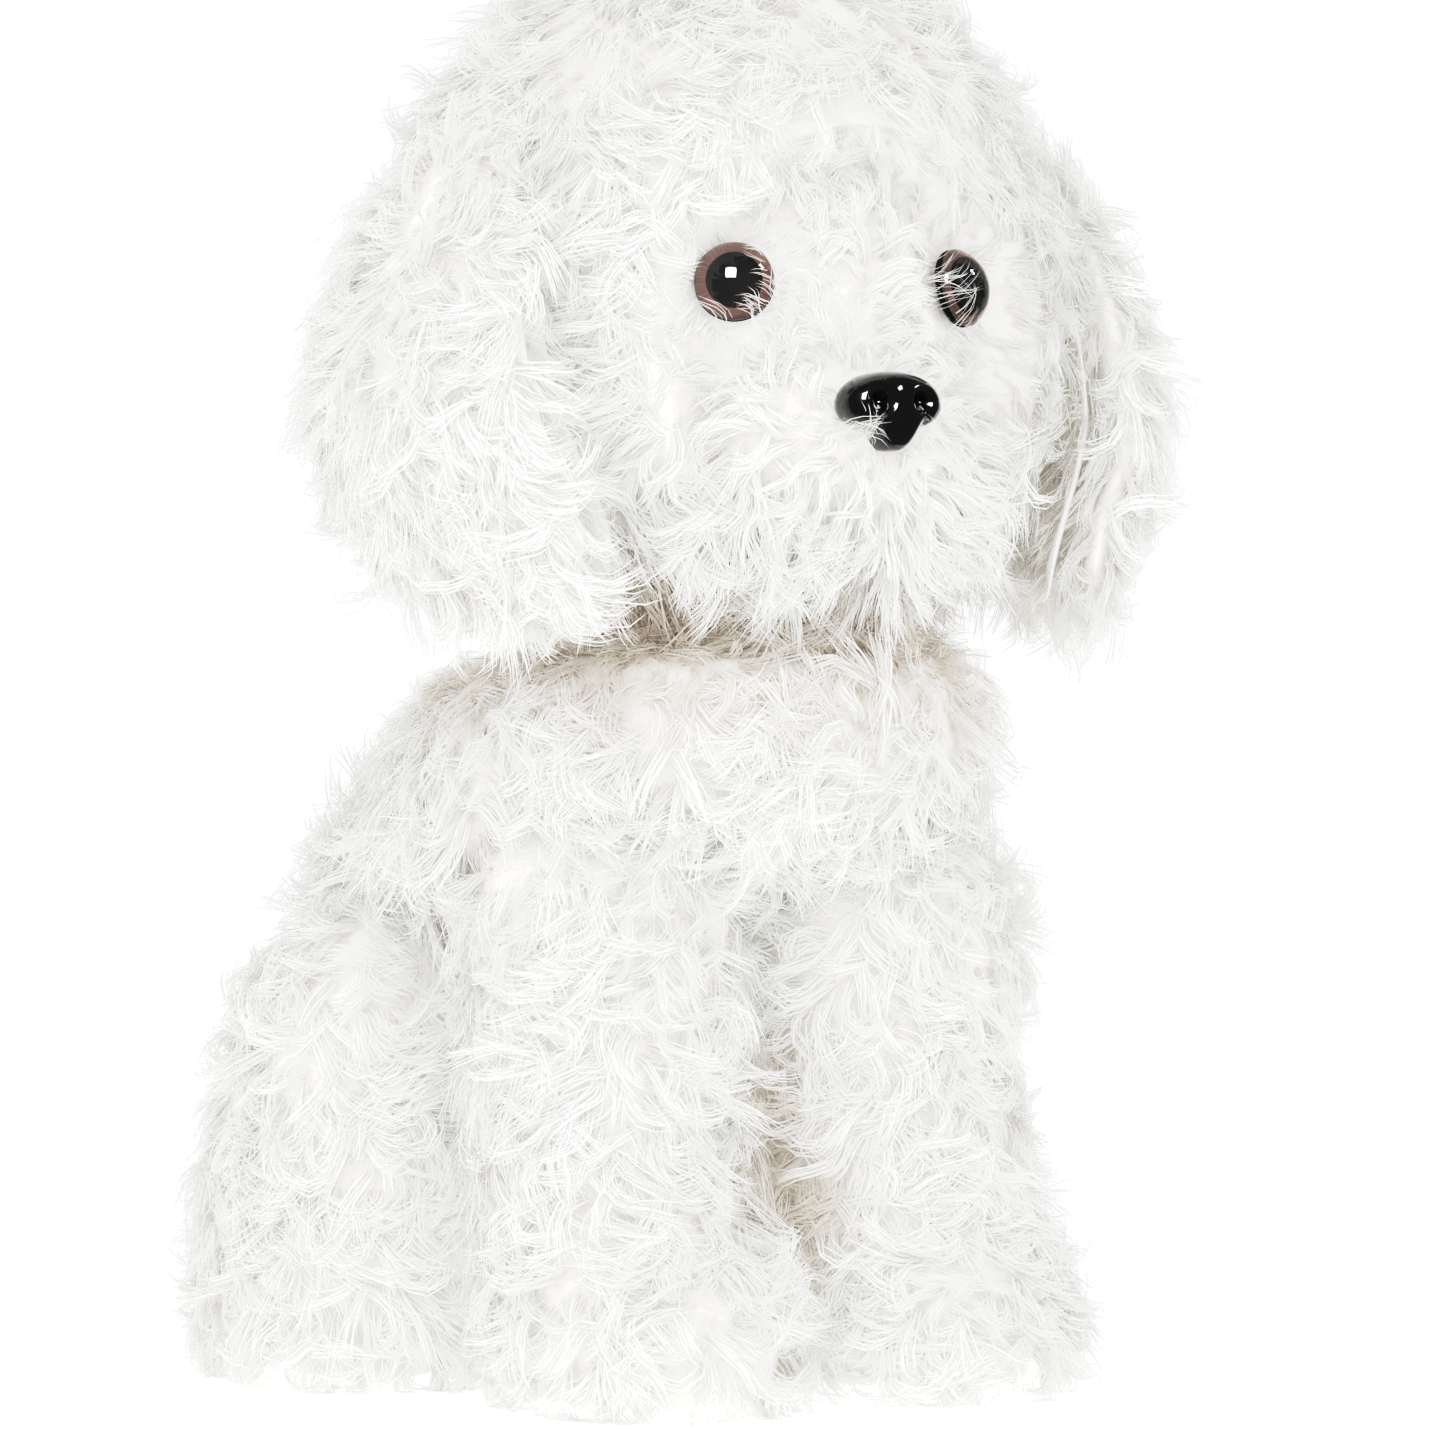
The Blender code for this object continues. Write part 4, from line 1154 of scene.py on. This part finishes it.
def nose_grid(rows=84, around=112):
    """The moulded nose: a rounded, wide block whose front carries two nostrils over a lower middle lobe.

    A point's direction is its angle from straight ahead and its turn about the nose's axis. The outline is
    a wide ellipse, pushed down in the middle by a bell curve for the lower lobe and drawn in by two narrow
    ones beside it. Each nostril is a bell-shaped hollow with a low rim.
    """
    fall = np.linspace(0.03, pi - 0.06, rows)[:, None]
    turn = np.arange(around)[None, :] * FULL_TURN / around
    x = np.sin(fall) * np.cos(turn)
    z = np.sin(fall) * np.sin(turn)
    y = np.cos(fall) + 0.0 * turn
    wide = np.sign(x) * np.abs(x) ** 0.92 * 9.7
    tall = np.where(z > 0.0, np.abs(z) ** 0.95 * 6.0, -(np.abs(z) ** 0.95) * 4.6)
    deep = np.sign(y) * np.abs(y) ** 0.75 * 6.2
    low = np.clip(-z, 0.0, 1.0)
    lobe = np.exp(-((wide / 3.6) ** 4))
    tall = tall - 3.4 * lobe * low**1.1
    notch = np.exp(-(((np.abs(wide) - 4.9) / 1.0) ** 2)) * low**2
    tall = tall + 1.5 * notch
    deep = deep - 1.6 * notch * (y > 0)
    front = np.clip(y, 0.0, 1.0) ** 0.5
    for sign in (-1.0, 1.0):
        away = np.hypot((wide - sign * 4.1) / 1.75, (tall - 0.7) / 1.6)
        deep = deep - 3.0 * np.exp(-(away**2) * 1.1) * front
        deep = deep + 0.3 * np.exp(-(((away - 1.75) / 0.55) ** 2)) * front
    ridge = np.exp(-((wide / 1.1) ** 2)) * np.exp(-(((tall + 0.6) / 3.2) ** 2))
    deep = deep - 0.5 * ridge * front
    return np.stack([wide, -deep, tall], -1) * MM


class PLUSH_OT_nose(bpy.types.Operator):
    """The moulded nose"""

    bl_idname = "plush.nose"
    bl_label = "Nose"

    def execute(self, context):
        obj = closed_skin("moulded_nose", nose_grid() + NOSE_MIDDLE)
        obj.data.materials.append(moulded_material("nose_gloss", (0.005, 0.005, 0.006), 0.12))
        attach(obj, "head")
        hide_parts("nose")
        return {"FINISHED"}


class PLUSH_OT_inner_parts(bpy.types.Operator):
    """Materials of the pieces inside: fillings, pellet bag, thread, washers and the underside panel"""

    bl_idname = "plush.inner_parts"
    bl_label = "Inner parts"

    def execute(self, context):
        filling = filling_material()
        cloth = woven_material("bag_cloth", (0.70, 0.69, 0.65), (0.82, 0.81, 0.77))
        thread = woven_material("seam_thread", (0.78, 0.75, 0.70), (0.90, 0.88, 0.84))
        washer = moulded_material("washer_plastic", (0.82, 0.82, 0.80), 0.45)
        panel = woven_material("underside_cloth", (0.80, 0.77, 0.72), (0.90, 0.88, 0.84))
        for name in frame["nodes"]:
            if name.endswith("_stuffing"):
                dress(name, filling)
            elif name.endswith("_washer"):
                dress(name, washer)
        dress("seat_pellet_bag", cloth)
        dress("neck_seam_thread", thread)
        dress("base_panel", panel)
        return {"FINISHED"}


# ---------------------------------------------------------------- stage


# Lights: name, azimuth and elevation in degrees, distance and size in metres, power in watts
SOFTBOXES = (
    ("front_softbox", -35.0, 24.0, 1.6, 0.6, 2.6),
    ("top_softbox", -80.0, 62.0, 1.5, 1.3, 3.6),
    ("fill_softbox", 45.0, 30.0, 1.8, 1.2, 1.4),
)
GLINTS = (
    ("window_glint", -41.0, 33.0, 1.4, 0.62, 45.0),
    ("strip_glint", 62.0, 38.0, 1.4, 0.25, 3.0),
)
# Tone curve: level in and level shown
TONES = ((0.06, 0.045), (0.30, 0.50), (0.48, 0.715), (0.66, 0.82), (0.80, 0.885), (0.97, 0.95))
ROOM_LIGHT = 0.79
ROOM_AS_SEEN = (("Is Glossy Ray", 0.12), ("Is Camera Ray", 1.05))  # in reflections, and behind the dog
FLOOR_REACH = 8.0
FLOOR_GLOW = 0.52
LIT_HEIGHT = 0.14  # the height that the lights face
VIEW_HEIGHT = 0.122  # the height at the middle of the view
VIEW_ASIDE = 0.0045  # how far left of the dog the middle of the view lies


def area_light(name, azimuth, elevation, distance, size, power):
    """A square light at an angle round the dog, turned to face it."""
    data = bpy.data.lights.new(name, "AREA")
    data.size = size
    data.energy = power
    light = bpy.data.objects.new(name, data)
    turn, rise = radians(azimuth), radians(elevation)
    offset = Vector((sin(turn) * cos(rise), -cos(turn) * cos(rise), sin(rise))) * distance
    light.location = Vector((0.0, HEAD_Y, LIT_HEIGHT)) + offset
    light.rotation_euler = (-offset).to_track_quat("-Z", "Y").to_euler()
    bpy.context.scene.collection.objects.link(light)
    return light


class PLUSH_OT_stage(bpy.types.Operator):
    """Floor, light and camera"""

    bl_idname = "plush.stage"
    bl_label = "Stage"

    def execute(self, context):
        scene = context.scene
        stage = scene.plush_stage
        corners = np.array([[-1.0, -1.0, 0.0], [1.0, -1.0, 0.0], [1.0, 1.0, 0.0], [-1.0, 1.0, 0.0]])
        floor = mesh_object("floor", corners * FLOOR_REACH, np.array([[0, 1, 2, 3]]))
        material, _, shader = new_material("floor_paper", (0.86, 0.86, 0.86), 0.9)
        put_in(shader, Emission_Color=(1.0, 1.0, 1.0, 1.0), Emission_Strength=FLOOR_GLOW)
        floor.data.materials.append(material)
        floor.visible_glossy = False

        world = bpy.data.worlds.new("studio")
        world.use_nodes = True
        tree = world.node_tree
        background = tree.nodes["Background"]
        put_in(background, Color=(1.0, 1.0, 1.0, 1.0))
        path = tree.nodes.new("ShaderNodeLightPath")
        strength = ROOM_LIGHT
        for ray, seen in ROOM_AS_SEEN:
            mix = tree.nodes.new("ShaderNodeMapRange")
            put_in(mix, To_Max=seen)
            if isinstance(strength, float):
                put_in(mix, To_Min=strength)
            else:
                tree.links.new(strength, mix.inputs["To Min"])
            tree.links.new(path.outputs[ray], mix.inputs["Value"])
            strength = mix.outputs["Result"]
        tree.links.new(strength, background.inputs["Strength"])
        scene.world = world

        for row in SOFTBOXES:
            area_light(*row).visible_glossy = False
        for row in GLINTS:
            glint = area_light(*row)
            glint.visible_diffuse = glint.visible_transmission = False

        camera_data = bpy.data.cameras.new("camera")
        camera_data.sensor_width = 36.0
        camera_data.lens = camera_data.sensor_width * stage.distance / stage.view_width
        camera = bpy.data.objects.new("camera", camera_data)
        turn, rise = stage.azimuth, stage.elevation
        right = Vector((cos(turn), sin(turn), 0.0))
        offset = Vector((sin(turn) * cos(rise), -cos(turn) * cos(rise), sin(rise)))
        target = Vector((0.0, HEAD_Y, VIEW_HEIGHT)) - right * VIEW_ASIDE
        camera.location = target + offset * stage.distance
        camera.rotation_euler = (-offset).to_track_quat("-Z", "Y").to_euler()
        scene.collection.objects.link(camera)
        scene.camera = camera
        scene.view_settings.view_transform = "Standard"
        scene.view_settings.use_curve_mapping = True
        tones = scene.view_settings.curve_mapping
        all_channels = tones.curves[3]
        for level, shown in TONES:
            all_channels.points.new(level, shown).handle_type = "AUTO_CLAMPED"
        tones.update()
        scene.cycles.diffuse_bounces = 8
        return {"FINISHED"}


# ---------------------------------------------------------------- panel and main


OPERATORS = (
    PLUSH_OT_body_skins,
    PLUSH_OT_head_skins,
    PLUSH_OT_neck,
    PLUSH_OT_head_pile,
    PLUSH_OT_stray_pile,
    PLUSH_OT_ear_pile,
    PLUSH_OT_body_pile,
    PLUSH_OT_tail_pile,
    PLUSH_OT_eyes,
    PLUSH_OT_nose,
    PLUSH_OT_inner_parts,
    PLUSH_OT_stage,
)


class PLUSH_PT_panel(bpy.types.Panel):
    """Lists the steps that build the dog"""

    bl_idname = "PLUSH_PT_panel"
    bl_label = "Plush Dog"
    bl_space_type = "VIEW_3D"
    bl_region_type = "UI"
    bl_category = "Plush Dog"

    def draw(self, context):
        for settings in (context.scene.plush_pile, context.scene.plush_stage):
            for name in settings.__annotations__:
                self.layout.prop(settings, name)
        for operator in OPERATORS:
            self.layout.operator(operator.bl_idname)


CLASSES = (PileSettings, StageSettings, *OPERATORS, PLUSH_PT_panel)


def register():
    """Makes the classes known and gives the scene its settings."""
    for cls in CLASSES:
        bpy.utils.register_class(cls)
    bpy.types.Scene.plush_pile = bpy.props.PointerProperty(type=PileSettings)
    bpy.types.Scene.plush_stage = bpy.props.PointerProperty(type=StageSettings)


def unregister():
    """Takes the settings and classes away again."""
    del bpy.types.Scene.plush_stage
    del bpy.types.Scene.plush_pile
    for cls in reversed(CLASSES):
        bpy.utils.unregister_class(cls)


def main():
    """Builds every piece in order."""
    register()
    for operator in OPERATORS:
        group, name = operator.bl_idname.split(".")
        getattr(getattr(bpy.ops, group), name)()


if __name__ == "__main__":
    main()
